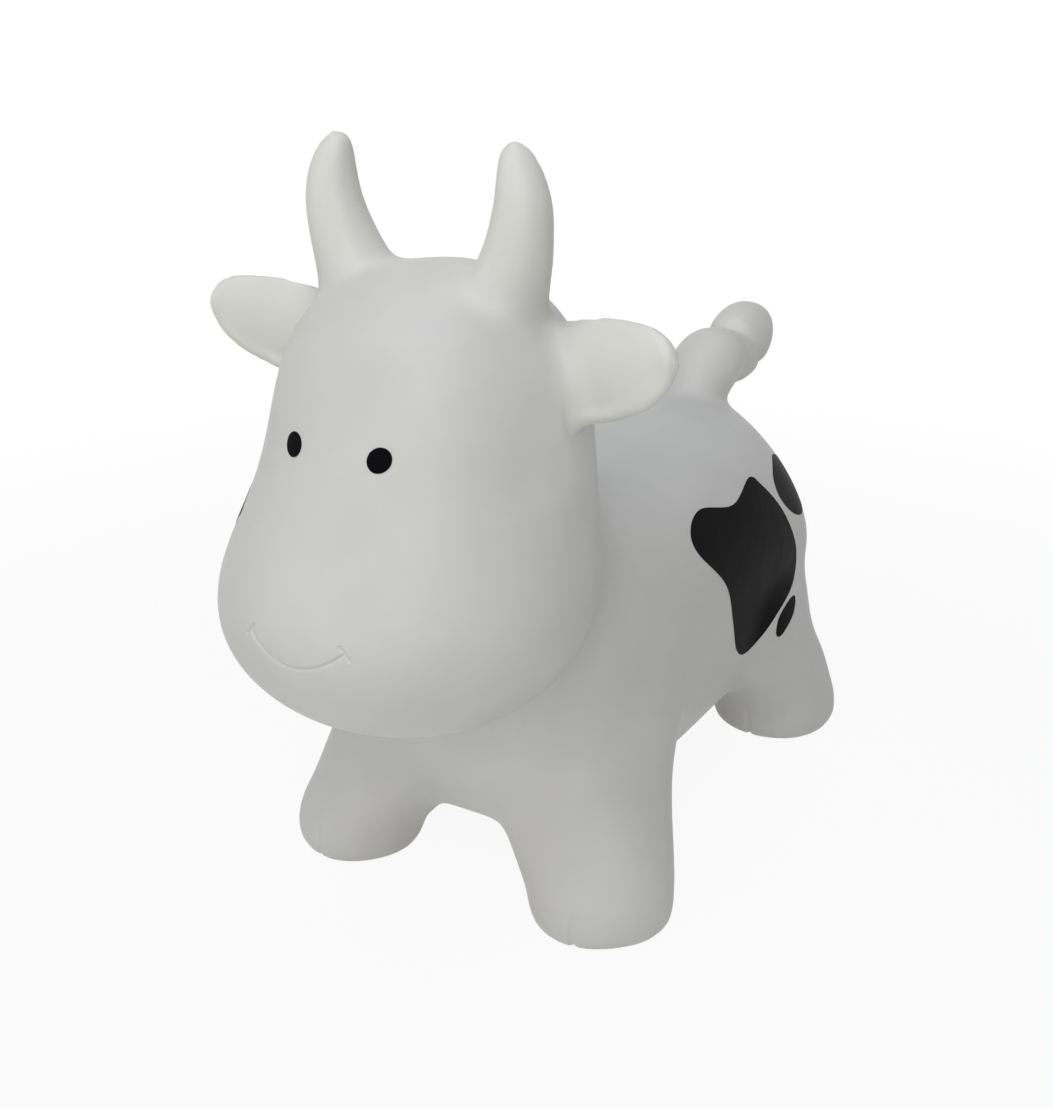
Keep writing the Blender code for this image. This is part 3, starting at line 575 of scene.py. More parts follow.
def torso_lobe():
    sections = []
    for along, rise, width, height, squareness in smooth_stations(TORSO_STATION_SHARES):
        centre = Vector((0, TORSO_FRONT_Y + along * TORSO_LENGTH, TORSO_CENTRE_Z + rise * TORSO_HEIGHT))
        half_width = width * TORSO_WIDTH / 2
        half_height = height * TORSO_HEIGHT / 2
        below = max(squareness * BELLY_SQUARENESS_SHARE, BELLY_LEAST_SQUARENESS)
        sections.append((centre, X_AXIS, Z_AXIS, half_width, half_height, squareness, below))
    return loft(sections)


def head_lobe():
    sections = []
    for up, front, back, width in smooth_stations(HEAD_STATION_SHARES):
        middle = MUZZLE_Y + (front + back) / 2 * HEAD_DEPTH
        centre = Vector((0, middle, CHIN_CLEARANCE + up * HEAD_HEIGHT))
        sections.append((centre, X_AXIS, Y_AXIS, width * HEAD_WIDTH / 2, (back - front) / 2 * HEAD_DEPTH))
    return loft(sections)


def leg_centre(side, end):
    """Where the leg stands on the ground."""
    front = TORSO_FRONT_Y + FRONT_LEG_INSET
    rear = TORSO_REAR_Y - REAR_LEG_INSET
    return Vector((side * LEG_SPREAD / 2, front if end < 0 else rear, 0))


def leg_lobe(side, end):
    foot = leg_centre(side, end)
    stations = FRONT_LEG_STATION_SHARES if end < 0 else REAR_LEG_STATION_SHARES
    sections = []
    for up, drawn_in, drawn_to_belly, width, length, turned in smooth_stations(stations):
        lean = Vector((-side * drawn_in * LEG_RADIUS, -end * drawn_to_belly * LEG_RADIUS, up * LEG_HEIGHT))
        turn = Matrix.Rotation(side * turned * FOOT_TURN_ANGLE, 3, "Z")
        across = turn @ X_AXIS
        along = turn @ Y_AXIS
        half = (width * LEG_RADIUS, length * LEG_RADIUS)
        sections.append((foot + lean, across, along, *half, LEG_SQUARENESS_SHARE))
    return loft(sections)


def horn_lobe(side):
    places = []
    radii = []
    for up, bow, lean, radius in smooth_stations(HORN_STATION_SHARES):
        out = side * (HORN_ROOT_SPACING / 2 + bow * HORN_BOW)
        height = CROWN_Z - HORN_ROOT_DEPTH + up * HORN_LENGTH
        places.append(Vector((out, HORN_Y - lean * HORN_LEAN, height)))
        radii.append((radius * HORN_RADIUS, radius * HORN_RADIUS))
    return path_loft(places, radii, Y_AXIS)


def ear_lobe(side):
    places = []
    radii = []
    for out, sweep, rise, width, thickness in smooth_stations(EAR_STATION_SHARES):
        across = side * (EAR_ROOT_SPACING / 2 + out * EAR_LENGTH)
        places.append(Vector((across, EAR_Y - sweep * EAR_SWEEP, EAR_Z + rise * EAR_RISE)))
        radii.append((width * EAR_WIDTH / 2, thickness * EAR_THICKNESS / 2))
    return path_loft(places, radii, Z_AXIS)


def tail_lobe():
    places = []
    radii = []
    for reach, rise, width, height in smooth_stations(TAIL_STATION_SHARES):
        places.append(Vector((0, TAIL_ROOT_Y + reach * TAIL_REACH, TAIL_ROOT_Z + rise * TAIL_RISE)))
        radii.append((width * TAIL_RADIUS, height * TAIL_RADIUS))
    return path_loft(places, radii, X_AXIS)


def rounder_hollows(skin):
    """Rounds the hollows between the legs and the belly further, and leaves the rest of the skin alone."""
    low, high = HOLLOW_HEIGHTS
    group = skin.vertex_groups.new(name="hollows")
    for vertex in skin.data.vertices:
        height = vertex.co.z
        share = min((height - low) / HOLLOW_FADE, (high - height) / HOLLOW_FADE + 1, 1)
        if share > 0:
            group.add([vertex.index], share, "REPLACE")
    smooth = skin.modifiers.new("rounder hollows", "SMOOTH")
    smooth.iterations = HOLLOW_PASSES
    smooth.vertex_group = group.name
    return settled(skin, "skin")


def fused_skin():
    """One smooth closed surface round all the lobes, with soft creases where they meet."""
    lobes = [torso_lobe(), head_lobe(), tail_lobe()]
    for side in SIDES.values():
        lobes.append(horn_lobe(side))
        lobes.append(ear_lobe(side))
        lobes.extend(leg_lobe(side, end) for end in ENDS.values())
    bm = bmesh.new()
    for lobe in lobes:
        bm.from_mesh(lobe)
        bpy.data.meshes.remove(lobe)
    skin = new_object("skin", mesh_from(bm, "skin"))
    remesh = skin.modifiers.new("one surface", "REMESH")
    remesh.mode = "VOXEL"
    remesh.voxel_size = SKIN_CELL
    smooth = skin.modifiers.new("soft creases", "SMOOTH")
    smooth.iterations = SMOOTH_PASSES
    return rounder_hollows(settled(skin, "skin"))


def stood_up(skin):
    """Cuts the soles flat and stands the skin where the CAD's skin stands."""
    bm = bmesh_of(skin)
    bpy.data.objects.remove(skin)
    floor = min(v.co.z for v in bm.verts) + SOLE_FLAT_DEPTH
    lengths = [v.co.y for v in bm.verts]
    whole = bm.verts[:] + bm.edges[:] + bm.faces[:]
    bmesh.ops.bisect_plane(bm, geom=whole, plane_co=(0, 0, floor), plane_no=-Z_AXIS, clear_outer=True)
    bmesh.ops.translate(bm, verts=bm.verts, vec=(0, -(min(lengths) + max(lengths)) / 2, -floor))
    return bm


def soften(bm, verts):
    """A few rounds of smoothing over some of the skin."""
    for _ in range(SOFTEN_PASSES):
        bmesh.ops.smooth_vert(
            bm, verts=verts, factor=SOFTEN_SHARE, use_axis_x=True, use_axis_y=True, use_axis_z=True
        )


def finer_near(bm, points, reach, cell):
    """Splits the faces near a line of points until their edges are about as long as cell."""
    tree = KDTree(len(points))
    for i, point in enumerate(points):
        tree.insert(point, i)
    tree.balance()
    size = SKIN_CELL
    while size > cell:
        grown = reach + 2 * size
        near = [f for f in bm.faces if tree.find(f.calc_center_median())[2] < grown]
        edges = {e for f in near for e in f.edges}
        bmesh.ops.subdivide_edges(bm, edges=list(edges), cuts=1, smooth=1.0, use_grid_fill=True)
        size /= 2
    soften(bm, [v for v in bm.verts if tree.find(v.co)[2] < reach])
    return tree


def engrave(bm, path, width, depth, cell, fade):
    """Presses a groove into the skin along a path on it; fade gives each point's share of its depth."""
    reach = GROOVE_REACH_SHARE * width
    tree = finer_near(bm, path, reach, cell)
    bm.normal_update()
    moves = []
    for vertex in bm.verts:
        found = tree.find(vertex.co)
        if found[2] < reach:
            share = math.exp(-((found[2] / width) ** 2)) * fade(vertex.co)
            moves.append((vertex, vertex.normal * -depth * share))
    for vertex, move in moves:
        vertex.co += move


def on_skin(surface, origin, direction):
    """Where a ray first meets the skin."""
    return surface.ray_cast(Vector(origin), Vector(direction))[0]


def filled_path(points, step):
    """The path with extra points, no further apart than step."""
    out = []
    for here, there in zip(points, points[1:]):
        count = max(1, math.ceil((there - here).length / step))
        out.extend(here.lerp(there, i / count) for i in range(count))
    return [*out, points[-1]]


def ring_on_skin(surface, centre, first, second, start, turn):
    """Where rays that fan out from a point inside the skin meet it, from the angle start through turn."""
    out = []
    for i in range(OUTLINE_STEPS + 1):
        angle = start + turn * i / OUTLINE_STEPS
        out.append(on_skin(surface, centre, first * math.cos(angle) + second * math.sin(angle)))
    return out


def crease_tail(bm):
    """Deepens the crease between the tail's stem and its tuft."""
    surface = BVHTree.FromBMesh(bm)
    reach = TAIL_ROOT_Y + TAIL_CREASE_REACH_SHARE * TAIL_REACH
    centre = Vector((0, reach, TAIL_ROOT_Z + TAIL_CREASE_RISE_SHARE * TAIL_RISE))
    up = Vector((0, math.sin(TAIL_CREASE_TILT), math.cos(TAIL_CREASE_TILT)))
    path = filled_path(ring_on_skin(surface, centre, X_AXIS, up, 0, math.tau), CREASE_CELL)
    engrave(bm, path, TAIL_CREASE_WIDTH, TAIL_CREASE_DEPTH, CREASE_CELL, lambda p: 1)


def crease_ears(bm):
    """Tucks the skin in under each ear, where it leaves the head."""
    surface = BVHTree.FromBMesh(bm)
    half = Vector((0, EAR_CREASE_HALF_DEPTH, EAR_WIDTH / 2))
    path = []
    for side in SIDES.values():
        centre = Vector((side * (EAR_ROOT_SPACING / 2 + EAR_CREASE_OUT), EAR_Y, EAR_Z))
        ring = ring_on_skin(surface, centre, Y_AXIS * half.y, Z_AXIS * half.z, math.pi, math.pi)
        path.extend(filled_path(ring, CREASE_CELL))

    def fade(place):
        return smoothstep(EAR_Z, EAR_Z - EAR_CREASE_FADE, place.z)

    engrave(bm, path, EAR_CREASE_WIDTH, EAR_CREASE_DEPTH, CREASE_CELL, fade)


def raise_valve_pad(bm):
    """A round pad under the belly that the valve's flange lies on, with a pocket for the valve."""
    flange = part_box("valve_seat")[0][2]
    pad = flange + VALVE_FLANGE + VALVE_SEAT_GAP
    finer_near(bm, [Vector((0, 0, pad))], VALVE_PAD_RADIUS + 2 * VALVE_PAD_FILLET, VALVE_CELL)
    full = VALVE_PAD_RADIUS - VALVE_PAD_FILLET
    edge = VALVE_PAD_RADIUS + VALVE_PAD_FILLET
    for vertex in bm.verts:
        away = math.hypot(vertex.co.x, vertex.co.y)
        if away < edge and vertex.co.z < TORSO_CENTRE_Z:
            share = 1 - smoothstep(full, edge, away)
            vertex.co.z += (pad - vertex.co.z) * share
            pocket = 1 - smoothstep(VALVE_POCKET_RADIUS, VALVE_POCKET_RADIUS + VALVE_POCKET_SLOPE, away)
            vertex.co.z += VALVE_POCKET_DEPTH * pocket


def engrave_mouth(bm):
    surface = BVHTree.FromBMesh(bm)
    well_in_front = MUZZLE_Y * 2
    height = CHIN_CLEARANCE + MOUTH_HEIGHT

    def at(x, z):
        return on_skin(surface, (x, well_in_front, z), Y_AXIS)

    curve = []
    for i in range(OUTLINE_STEPS + 1):
        share = 2 * i / OUTLINE_STEPS - 1
        curve.append(at(share * MOUTH_HALF_WIDTH, height + MOUTH_DROP * share**2))
    path = filled_path(curve, MOUTH_CELL)
    for side in SIDES.values():
        ends = []
        for turn in (-1, 1):
            x = side * (MOUTH_HALF_WIDTH + turn * MOUTH_TICK)
            ends.append(at(x, height + MOUTH_DROP - turn * MOUTH_TICK * MOUTH_TICK_SLOPE))
        path.extend(filled_path(ends, MOUTH_CELL))
    engrave(bm, path, MOUTH_GROOVE_WIDTH, MOUTH_GROOVE_DEPTH, MOUTH_CELL, lambda p: 1)


def engrave_toes(bm):
    surface = BVHTree.FromBMesh(bm)
    path = []
    for side in SIDES.values():
        for place, end in ENDS.items():
            foot = leg_centre(side, end)
            x = foot.x + side * TOE_OFFSETS[place]
            in_front = foot.y - 2 * LEG_RADIUS
            for i in range(OUTLINE_STEPS + 1):
                z = TOE_RISE * (i + 0.5) / (OUTLINE_STEPS + 1)
                path.append(on_skin(surface, (x, in_front, z), Y_AXIS))

    def fade(place):
        return 1 - smoothstep(TOE_FULL_RISE, TOE_RISE, place.z)

    engrave(bm, path, TOE_GROOVE_WIDTH, TOE_GROOVE_DEPTH, TOE_CELL, fade)


def dish_ears(bm):
    """Hollows the front of each ear and leaves a soft rim."""
    bm.normal_update()
    outs = [row[0] for row in EAR_STATION_SHARES]
    widths = [row[3] for row in EAR_STATION_SHARES]
    moves = []
    for side in SIDES.values():
        root = Vector((side * EAR_ROOT_SPACING / 2, EAR_Y, EAR_Z))
        tip = root + Vector((side * EAR_LENGTH, -EAR_SWEEP, EAR_RISE))
        along = (tip - root).normalized()
        front = -(Y_AXIS - along * along.dot(Y_AXIS)).normalized()
        across = along.cross(front)
        length = (tip - root).length
        for vertex in bm.verts:
            place = vertex.co - root
            out = place.dot(along) / length
            facing = vertex.normal.dot(front)
            if not EAR_SOFTEN_START_SHARE < out < 1 or facing <= 0:
                continue
            edge = np.interp(out, outs, widths) * EAR_WIDTH / 2
            inside = max(edge - abs(place.dot(across)), MERGE_DISTANCE)
            margin = 1 / math.hypot(1 / inside, 1 / ((1 - out) * length))
            share = smoothstep(*EAR_RIM, margin) * smoothstep(*EAR_DISH_FACING_SHARES, facing)
            share *= smoothstep(*EAR_DISH_START_SHARES, out)
            moves.append((vertex, front * -EAR_DISH * share))
    for vertex, move in moves:
        vertex.co += move
    soften(bm, [vertex for vertex, _ in moves])


def parting_planes():
    """For each lobe that moves: a point on its parting plane, the way out and what it may cut."""
    horn = (Vector((0, 0, CROWN_Z + HORN_PART_RISE)), Z_AXIS, lambda p: p.z > EAR_Z)
    tail_way = Vector((0, math.sin(TAIL_PART_TILT), math.cos(TAIL_PART_TILT)))
    tail_place = Vector((0, TORSO_REAR_Y - TAIL_PART_INSET, BACK_Z - TAIL_PART_DEPTH))
    planes = {
        "horns": horn,
        "tail": (tail_place, tail_way, lambda p: p.y > TORSO_FRONT_Y + TORSO_LENGTH / 2),
        "feet": (Vector((0, 0, FOOT_PART_HEIGHT)), -Z_AXIS, lambda p: p.z < CHIN_CLEARANCE),
    }
    for word, side in SIDES.items():
        planes[f"ear_{word}"] = (
            Vector((side * EAR_PART, 0, 0)),
            X_AXIS * side,
            lambda p: p.z > EAR_PART_LOW and p.y < TORSO_FRONT_Y + MUZZLE_OVERHANG / 2,
        )
    return planes


def part_skin(bm):
    """Cuts the skin along the parting planes and says which faces belong to which piece."""
    planes = parting_planes()
    for place, way, allowed in planes.values():
        faces = [f for f in bm.faces if allowed(f.calc_center_median())]
        edges = {e for f in faces for e in f.edges}
        verts = {v for f in faces for v in f.verts}
        bmesh.ops.bisect_plane(
            bm, geom=[*verts, *edges, *faces], plane_co=place, plane_no=way, dist=MERGE_DISTANCE
        )
    bmesh.ops.triangulate(bm, faces=[f for f in bm.faces if len(f.verts) > 4])
    bm.normal_update()
    groups = {}
    for face in bm.faces:
        centre = face.calc_center_median()
        name = "body_skin"
        for plane, (place, way, allowed) in planes.items():
            if allowed(centre) and (centre - place).dot(way) > 0:
                side = "left" if centre.x > 0 else "right"
                if plane == "horns":
                    name = f"horn_skin_{side}"
                elif plane == "feet":
                    name = f"foot_skin_{'front' if centre.y < 0 else 'rear'}_{side}"
                elif plane == "tail":
                    name = "tail_skin"
                else:
                    name = f"ear_skin_{side}"
        groups.setdefault(name, []).append(face)
    return groups


def skin_pieces(bm, finish):
    """One closed piece per group of faces, each shaded as part of the whole skin so that no seam shows."""
    whole = bm.verts.layers.float_vector.new("whole_normal")
    outside = bm.faces.layers.int.new("outside")
    groups = part_skin(bm)
    bm.faces.index_update()
    for vertex in bm.verts:
        vertex[whole] = vertex.normal
    for face in bm.faces:
        face[outside] = 1
    made = {}
    for name, faces in groups.items():
        kept = {f.index for f in faces}
        piece = bm.copy()
        piece.faces.index_update()
        bmesh.ops.delete(piece, geom=[f for f in piece.faces if f.index not in kept], context="FACES")
        rim = [e for e in piece.edges if e.is_boundary]
        caps = bmesh.ops.holes_fill(piece, edges=rim)["faces"]
        bmesh.ops.triangulate(piece, faces=caps)
        mesh = mesh_from(piece, name)
        made[name] = new_object(name, mesh, finish)
        shade_as_whole(mesh)
    return made


def shade_as_whole(mesh):
    """Smooth shading from the whole skin's normals, with the hidden caps flat."""
    loops = len(mesh.loops)
    corner = np.zeros(loops, np.int32)
    mesh.loops.foreach_get("vertex_index", corner)
    whole = np.zeros(len(mesh.vertices) * 3)
    mesh.attributes["whole_normal"].data.foreach_get("vector", whole)
    whole = whole.reshape(-1, 3)
    outside = np.zeros(len(mesh.polygons), np.int32)
    mesh.attributes["outside"].data.foreach_get("value", outside)
    flat = np.zeros(len(mesh.polygons) * 3)
    mesh.polygons.foreach_get("normal", flat)
    totals = np.zeros(len(mesh.polygons), np.int32)
    mesh.polygons.foreach_get("loop_total", totals)
    owner = np.repeat(np.arange(len(mesh.polygons)), totals)
    normals = np.where(outside[owner][:, None] == 1, whole[corner], flat.reshape(-1, 3)[owner])
    mesh.shade_smooth()
    mesh.normals_split_custom_set(normals.tolist())
    mesh.attributes.remove(mesh.attributes["whole_normal"])
    mesh.attributes.remove(mesh.attributes["outside"])


def film_over(bm, name, allowed):
    """A thin sheet that follows the skin over the faces that are allowed, half sunk in it."""
    faces = [f for f in bm.faces if allowed(f.calc_center_median(), f.normal)]
    sheet = bm.copy()
    sheet.faces.index_update()
    kept = {f.index for f in faces}
    bmesh.ops.delete(sheet, geom=[f for f in sheet.faces if f.index not in kept], context="FACES")
    obj = new_object(name, mesh_from(sheet, name))
    body = obj.modifiers.new("sheet", "SOLIDIFY")
    body.thickness = FILM
    body.offset = 1 - 2 * FILM_SINK / FILM
    body.use_even_offset = True
    return settled(obj, name)


def prism(outline, depth):
    """A closed prism over an outline of points, reaching as far as depth."""
    bm = bmesh.new()
    face = bm.faces.new([bm.verts.new(point) for point in outline])
    grown = bmesh.ops.extrude_face_region(bm, geom=[face])["geom"]
    bmesh.ops.translate(bm, verts=[v for v in grown if isinstance(v, bmesh.types.BMVert)], vec=depth)
    bmesh.ops.recalc_face_normals(bm, faces=bm.faces)
    return new_object("prism", mesh_from(bm, "prism"))


def painted(bm, name, outline, depth, allowed, finish):
    """A painted shape: the film over the skin, cut to the outline by a prism."""
    obj = film_over(bm, name, allowed)
    tool = prism(outline, depth)
    step = obj.modifiers.new("outline", "BOOLEAN")
    step.operation = "INTERSECT"
    step.solver = "EXACT"
    step.object = tool
    obj = settled(obj, name)
    bpy.data.objects.remove(tool)
    obj.data.materials.clear()
    obj.data.materials.append(finish)
    obj.data.shade_smooth()
    obj.data.set_sharp_from_angle(angle=SHARP_ANGLE)
    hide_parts(name)
    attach(obj, "body")
    return obj


def make_patches(bm, finish):
    torso_corner = Vector((0, TORSO_FRONT_Y, BELLY_CLEARANCE))
    torso_extent = Vector((0, TORSO_LENGTH, TORSO_HEIGHT))
    head_corner = Vector((0, MUZZLE_Y, CHIN_CLEARANCE))
    head_extent = Vector((0, HEAD_DEPTH, HEAD_HEIGHT))
    patches = {
        "patch_flank_left": (1, torso_corner, torso_extent, LEFT_FLANK_PATCH_SHARES),
        "patch_hip_left": (1, torso_corner, torso_extent, LEFT_HIP_PATCH_SHARES),
        "patch_rump_left": (1, torso_corner, torso_extent, LEFT_RUMP_PATCH_SHARES),
        "patch_flank_right": (-1, torso_corner, torso_extent, RIGHT_FLANK_PATCH_SHARES),
        "patch_cheek_right": (-1, head_corner, head_extent, RIGHT_CHEEK_PATCH_SHARES),
    }
    for name, (side, corner, extent, shares) in patches.items():
        near = side * TORSO_WIDTH * PATCH_START_SHARE
        outline = []
        for along, up in closed_curve(shares):
            outline.append(Vector((near, corner.y + along * extent.y, corner.z + up * extent.z)))
        low = [min(p[k] for p in outline) - PATCH_MARGIN for k in (1, 2)]
        high = [max(p[k] for p in outline) + PATCH_MARGIN for k in (1, 2)]

        def allowed(p, normal):
            inside = low[0] < p.y < high[0] and low[1] < p.z < high[1]
            return inside and p.x * side > 0 and normal.x * side > 0

        patch = painted(bm, name, outline, X_AXIS * side * TORSO_WIDTH, allowed, finish)


def make_eyes(bm, finish):
    height = CHIN_CLEARANCE + EYE_HEIGHT
    for word, side in SIDES.items():
        middle = Vector((side * EYE_SPACING / 2, MUZZLE_Y, height))
        outline = []
        for i in range(OUTLINE_STEPS):
            angle = math.tau * i / OUTLINE_STEPS
            outline.append(middle + (X_AXIS * math.cos(angle) + Z_AXIS * math.sin(angle)) * EYE_RADIUS)

        def allowed(p, normal):
            away = math.hypot(p.x - middle.x, p.z - middle.z)
            return away < EYE_RADIUS + PATCH_MARGIN and normal.y < 0 and p.y < TORSO_FRONT_Y

        eye = painted(bm, f"eye_{word}", outline, Y_AXIS * HEAD_DEPTH / 2, allowed, finish)


def new_material(name):
    made = bpy.data.materials.new(name)
    made.use_nodes = True
    tree = made.node_tree
    return made, tree, tree.nodes["Principled BSDF"], add_node(tree, "ShaderNodeTexCoord").outputs["Object"]


def clouds_of(tree, place, size, detail=2):
    """Soft noise whose clouds are about as large as size."""
    values = [("Scale", 1 / size), ("Detail", detail)]
    return add_node(tree, "ShaderNodeTexNoise", [("Vector", place)], values).outputs["Fac"]


def between(tree, share, dark, light):
    """A colour between two hex codes."""
    values = [(MIX_FIRST, colour(dark)), (MIX_SECOND, colour(light))]
    made = add_node(tree, "ShaderNodeMix", [(MIX_SHARE, share)], values, data_type="RGBA")
    return made.outputs[MIX_RESULT]


def warm_share(tree, place):
    """How much a spot belongs to a horn, an ear or the tail, which are a little warmer in tone."""
    axes = add_node(tree, "ShaderNodeSeparateXYZ", [(0, place)]).outputs
    out = add_node(tree, "ShaderNodeMath", [(0, axes["X"])], operation="ABSOLUTE").outputs[0]
    spans = [
        ("horns", axes["Z"], CROWN_Z - HORN_RADIUS, CROWN_Z + HORN_RADIUS / 2),
        ("ears out", out, EAR_PART - EAR_THICKNESS, EAR_PART),
        ("ears up", axes["Z"], EAR_PART_LOW, EAR_PART_LOW + EAR_THICKNESS),
        ("tail back", axes["Y"], TAIL_ROOT_Y - TAIL_RADIUS, TAIL_ROOT_Y + TAIL_RADIUS / 2),
        ("tail up", axes["Z"], BACK_Z - TAIL_RADIUS, BACK_Z),
    ]
    share = {}
    for name, value, low, high in spans:
        span = add_node(
            tree,
            "ShaderNodeMapRange",
            [("Value", value)],
            [("From Min", low), ("From Max", high)],
            interpolation_type="SMOOTHSTEP",
        )
        share[name] = span.outputs["Result"]
    steps = [
        ("ears", "MULTIPLY", "ears out", "ears up"),
        ("tail", "MULTIPLY", "tail back", "tail up"),
        ("horns and ears", "MAXIMUM", "horns", "ears"),
        ("all", "MAXIMUM", "horns and ears", "tail"),
    ]
    for name, operation, one, other in steps:
        step = add_node(tree, "ShaderNodeMath", [(0, share[one]), (1, share[other])], operation=operation)
        share[name] = step.outputs[0]
    return share["all"]


def finish_surface(tree, surface, place, colour_socket, cloud, roughness, ripple_depth):
    """What every moulded or sprayed surface here shares: cloudy gloss, slow ripples and a fine grain."""
    gloss = add_node(
        tree,
        "ShaderNodeMapRange",
        [("Value", clouds_of(tree, place, cloud))],
        [("To Min", roughness[0]), ("To Max", roughness[1])],
    )
    ripple = clouds_of(tree, place, PVC_RIPPLE)
    slow = add_node(tree, "ShaderNodeBump", [("Height", ripple)], [("Distance", ripple_depth)])
    grain = clouds_of(tree, place, PVC_GRAIN)
    fine = add_node(
        tree,
        "ShaderNodeBump",
        [("Height", grain), ("Normal", slow.outputs["Normal"])],
        [("Distance", PVC_GRAIN_DEPTH)],
    )
    tree.links.new(colour_socket, surface.inputs["Base Color"])
    tree.links.new(gloss.outputs["Result"], surface.inputs["Roughness"])
    tree.links.new(fine.outputs["Normal"], surface.inputs["Normal"])


def rotomoulded_pvc():
    """Plasticised PVC, rotationally moulded: a satin, opaque white that drifts a little from cloud to
    cloud, broad soft highlights that waver over slow ripples, and a fine even grain."""
    made, tree, surface, place = new_material("rotomoulded_soft_pvc")
    contrast = add_node(
        tree,
        "ShaderNodeMapRange",
        [("Value", clouds_of(tree, place, PVC_CLOUD, PVC_CLOUD_DETAIL))],
        [("From Min", CLOUD_RANGE[0]), ("From Max", CLOUD_RANGE[1])],
    ).outputs["Result"]
    links = [
        (MIX_SHARE, warm_share(tree, place)),
        (MIX_FIRST, between(tree, contrast, PVC_SHADE, PVC_LIGHT)),
        (MIX_SECOND, between(tree, contrast, PVC_WARM_SHADE, PVC_WARM_LIGHT)),
    ]
    both = add_node(tree, "ShaderNodeMix", links, data_type="RGBA").outputs[MIX_RESULT]
    finish_surface(tree, surface, place, both, PVC_GLOSS_CLOUD, PVC_ROUGHNESS, PVC_RIPPLE_DEPTH)
    surface.inputs["IOR"].default_value = PVC_IOR
    return made


def sprayed_vinyl_paint():
    """Soft vinyl paint sprayed through a mask: near black and satin, a touch greyer where the coat is thin,
    with the skin's ripples and grain under it."""
    made, tree, surface, place = new_material("sprayed_vinyl_paint")
    coat = between(tree, clouds_of(tree, place, PAINT_CLOUD), PAINT_DARK, PAINT_LIGHT)
    finish_surface(tree, surface, place, coat, PAINT_CLOUD, PAINT_ROUGHNESS, PVC_RIPPLE_DEPTH)
    surface.inputs["IOR"].default_value = PAINT_IOR
    surface.inputs["Specular IOR Level"].default_value = PAINT_SPECULAR
    return made


def moulded_valve_plastic(name, dark, light):
    """Injection-moulded soft plastic: waxy and smooth, with the faint flow marks of a small moulding."""
    made, tree, surface, place = new_material(name)
    tint = between(tree, clouds_of(tree, place, VALVE_FLOW), dark, light)
    finish_surface(tree, surface, place, tint, VALVE_FLOW, VALVE_ROUGHNESS, VALVE_RIPPLE_DEPTH)
    surface.inputs["IOR"].default_value = VALVE_IOR
    return made


def make_skin():
    bm = stood_up(fused_skin())
    bmesh.ops.holes_fill(bm, edges=[e for e in bm.edges if e.is_boundary])
    crease_ears(bm)
    dish_ears(bm)
    crease_tail(bm)
    raise_valve_pad(bm)
    engrave_mouth(bm)
    engrave_toes(bm)
    bm.normal_update()
    return bm


def ride_skin(pieces):
    """Hides the CAD pieces that the skin's pieces stand in for, hangs the body's skin on the body and bakes
    each other piece's place into its mesh.
    """
    body = pieces["body_skin"]
    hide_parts("torso_shell", "head_shell")
    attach(body, "body")
    tail = pieces["tail_skin"]
    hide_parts("tail")
    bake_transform(tail)
    for word, side in SIDES.items():
        horn = pieces[f"horn_skin_{word}"]
        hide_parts(f"horn_{word}")
        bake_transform(horn)
        ear = pieces[f"ear_skin_{word}"]
        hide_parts(f"ear_{word}")
        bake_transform(ear)
        for place in ENDS:
            foot = pieces[f"foot_skin_{place}_{word}"]
            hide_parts(f"leg_{place}_{word}")
            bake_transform(foot)


def dress_node(name, finish):
    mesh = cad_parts[name].data
    mesh.materials.clear()
    mesh.materials.append(finish)


def seen_from(azimuth, elevation):
    """The way from the toy towards a camera or a lamp at these angles."""
    flat = math.cos(elevation)
    return Vector((math.sin(azimuth) * flat, -math.cos(azimuth) * flat, math.sin(elevation)))


def make_camera():
    lens = bpy.data.cameras.new("camera")
    lens.lens = CAMERA_LENS
    lens.sensor_width = CAMERA_SENSOR
    lens.clip_start, lens.clip_end = CAMERA_CLIP
    camera = bpy.data.objects.new("camera", lens)
    bpy.context.scene.collection.objects.link(camera)
    back = seen_from(CAMERA_AZIMUTH, CAMERA_ELEVATION)
    camera.location = CAMERA_PLACE
    camera.rotation_euler = (-back).to_track_quat("-Z", "Y").to_euler()
    bpy.context.scene.camera = camera


def seen_directly(tree):
    """1 for rays from the camera, or by way of a mirror or clear glass."""
    path = add_node(tree, "ShaderNodeLightPath")
    first = add_node(
        tree,
        "ShaderNodeMath",
        [(0, path.outputs["Is Camera Ray"]), (1, path.outputs["Is Glossy Ray"])],
        operation="MAXIMUM",
    )
    both = add_node(
        tree,
        "ShaderNodeMath",
        [(0, first.outputs[0]), (1, path.outputs["Is Transmission Ray"])],
        operation="MAXIMUM",
    )
    return both.outputs[0]


def make_world():
    world = bpy.data.worlds.new("studio")
    bpy.context.scene.world = world
    world.use_nodes = True
    tree = world.node_tree
    tree.nodes.clear()
    room = add_node(
        tree, "ShaderNodeBackground", values=[("Color", colour(ROOM_COLOUR)), ("Strength", ROOM_STRENGTH)]
    )
    white = add_node(tree, "ShaderNodeBackground", values=[("Color", colour(WHITE)), ("Strength", 1)])
    mix = add_node(
        tree,
        "ShaderNodeMixShader",
        [("Fac", seen_directly(tree)), (1, room.outputs[0]), (2, white.outputs[0])],
    )
    add_node(tree, "ShaderNodeOutputWorld", [("Surface", mix.outputs[0])])


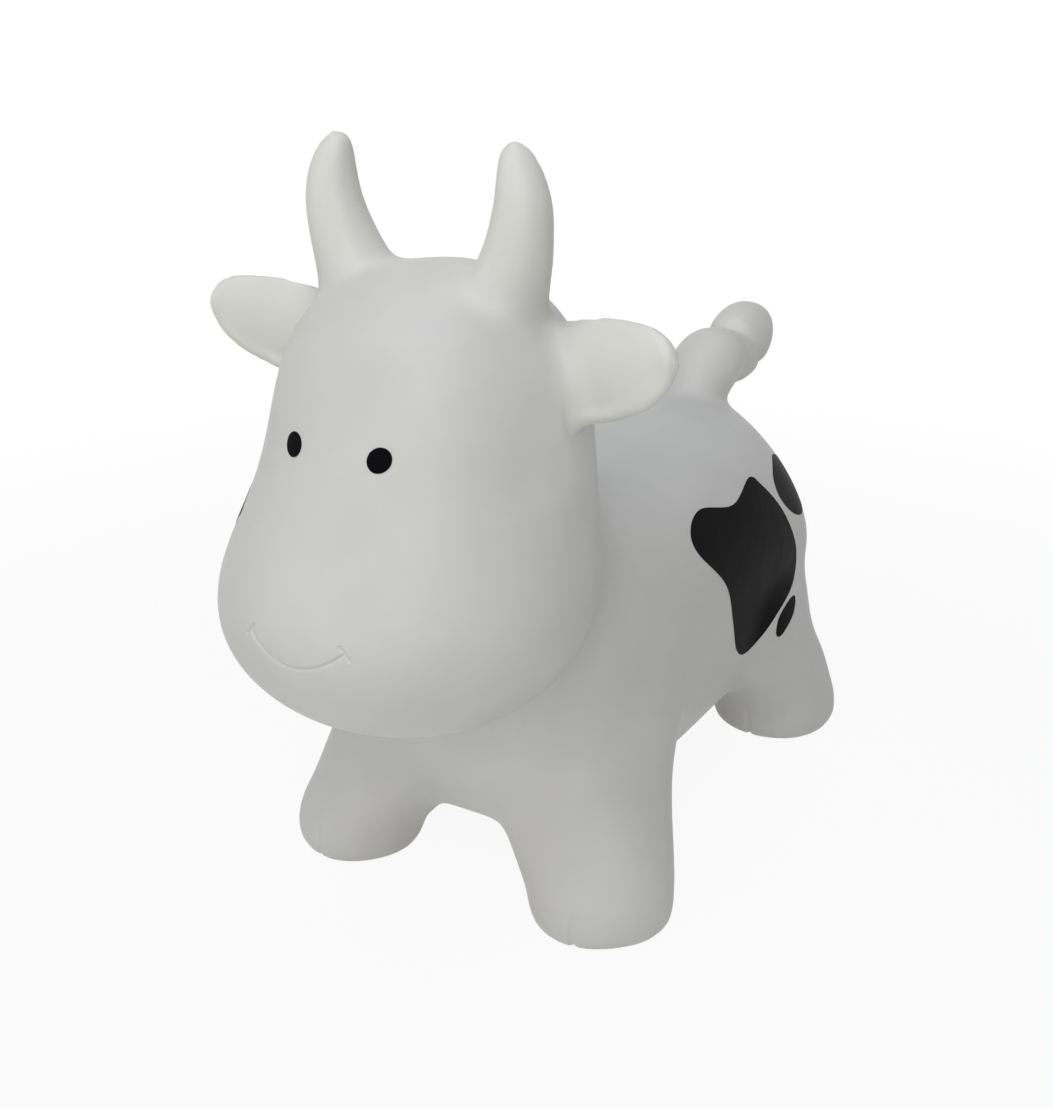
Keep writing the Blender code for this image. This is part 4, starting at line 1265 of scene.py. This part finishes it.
def make_floor():
    """A white floor that keeps the shadow near the toy and fades into the white room further out."""
    bm = bmesh.new()
    bmesh.ops.create_grid(bm, x_segments=1, y_segments=1, size=FLOOR_SIZE)
    made = bpy.data.materials.new("white_studio_floor")
    made.use_nodes = True
    tree = made.node_tree
    tree.nodes.clear()
    place = add_node(tree, "ShaderNodeTexCoord").outputs["Object"]
    away = add_node(tree, "ShaderNodeVectorMath", [(0, place)], operation="LENGTH").outputs["Value"]
    fade = add_node(
        tree,
        "ShaderNodeMapRange",
        [("Value", away)],
        [("From Min", FLOOR_FADE[0]), ("From Max", FLOOR_FADE[1]), ("To Min", FLOOR_GLOW_SHARE)],
        interpolation_type="SMOOTHSTEP",
    ).outputs["Result"]
    seen = seen_directly(tree)
    white = add_node(tree, "ShaderNodeMath", [(0, fade), (1, seen)], operation="MULTIPLY").outputs[0]
    matt = add_node(tree, "ShaderNodeBsdfDiffuse", values=[("Color", colour(FLOOR_COLOUR))])
    glow = add_node(tree, "ShaderNodeEmission", values=[("Color", colour(WHITE)), ("Strength", 1)])
    mix = add_node(tree, "ShaderNodeMixShader", [("Fac", white), (1, matt.outputs[0]), (2, glow.outputs[0])])
    add_node(tree, "ShaderNodeOutputMaterial", [("Surface", mix.outputs[0])])
    new_object("floor", mesh_from(bm, "floor"), made)


def make_lamp(name, azimuth, elevation, power, tint):
    """A soft square lamp that looks at the middle of the toy."""
    lamp = bpy.data.lights.new(name, "AREA")
    lamp.size = LAMP_SIZE
    lamp.energy = power
    lamp.color = colour(tint)[:3]
    obj = bpy.data.objects.new(name, lamp)
    bpy.context.scene.collection.objects.link(obj)
    back = seen_from(math.radians(azimuth), math.radians(elevation))
    obj.location = Vector((0, 0, CROWN_Z / 2)) + back * LAMP_DISTANCE
    obj.rotation_euler = (-back).to_track_quat("-Z", "Y").to_euler()


make_camera()
make_world()
make_floor()
for name, settings in LAMPS.items():
    make_lamp(name, *settings)

bm = make_skin()
paint = sprayed_vinyl_paint()
make_patches(bm, paint)
make_eyes(bm, paint)
ride_skin(skin_pieces(bm, rotomoulded_pvc()))
bm.free()
dress_node("valve_seat", moulded_valve_plastic("softened_pvc_seat", SEAT_SHADE, SEAT_LIGHT))
dress_node("valve_plug", moulded_valve_plastic("polyethylene_plug", PLUG_SHADE, PLUG_LIGHT))

bpy.context.scene.view_settings.view_transform = "Standard"

bpy.context.view_layer.update()
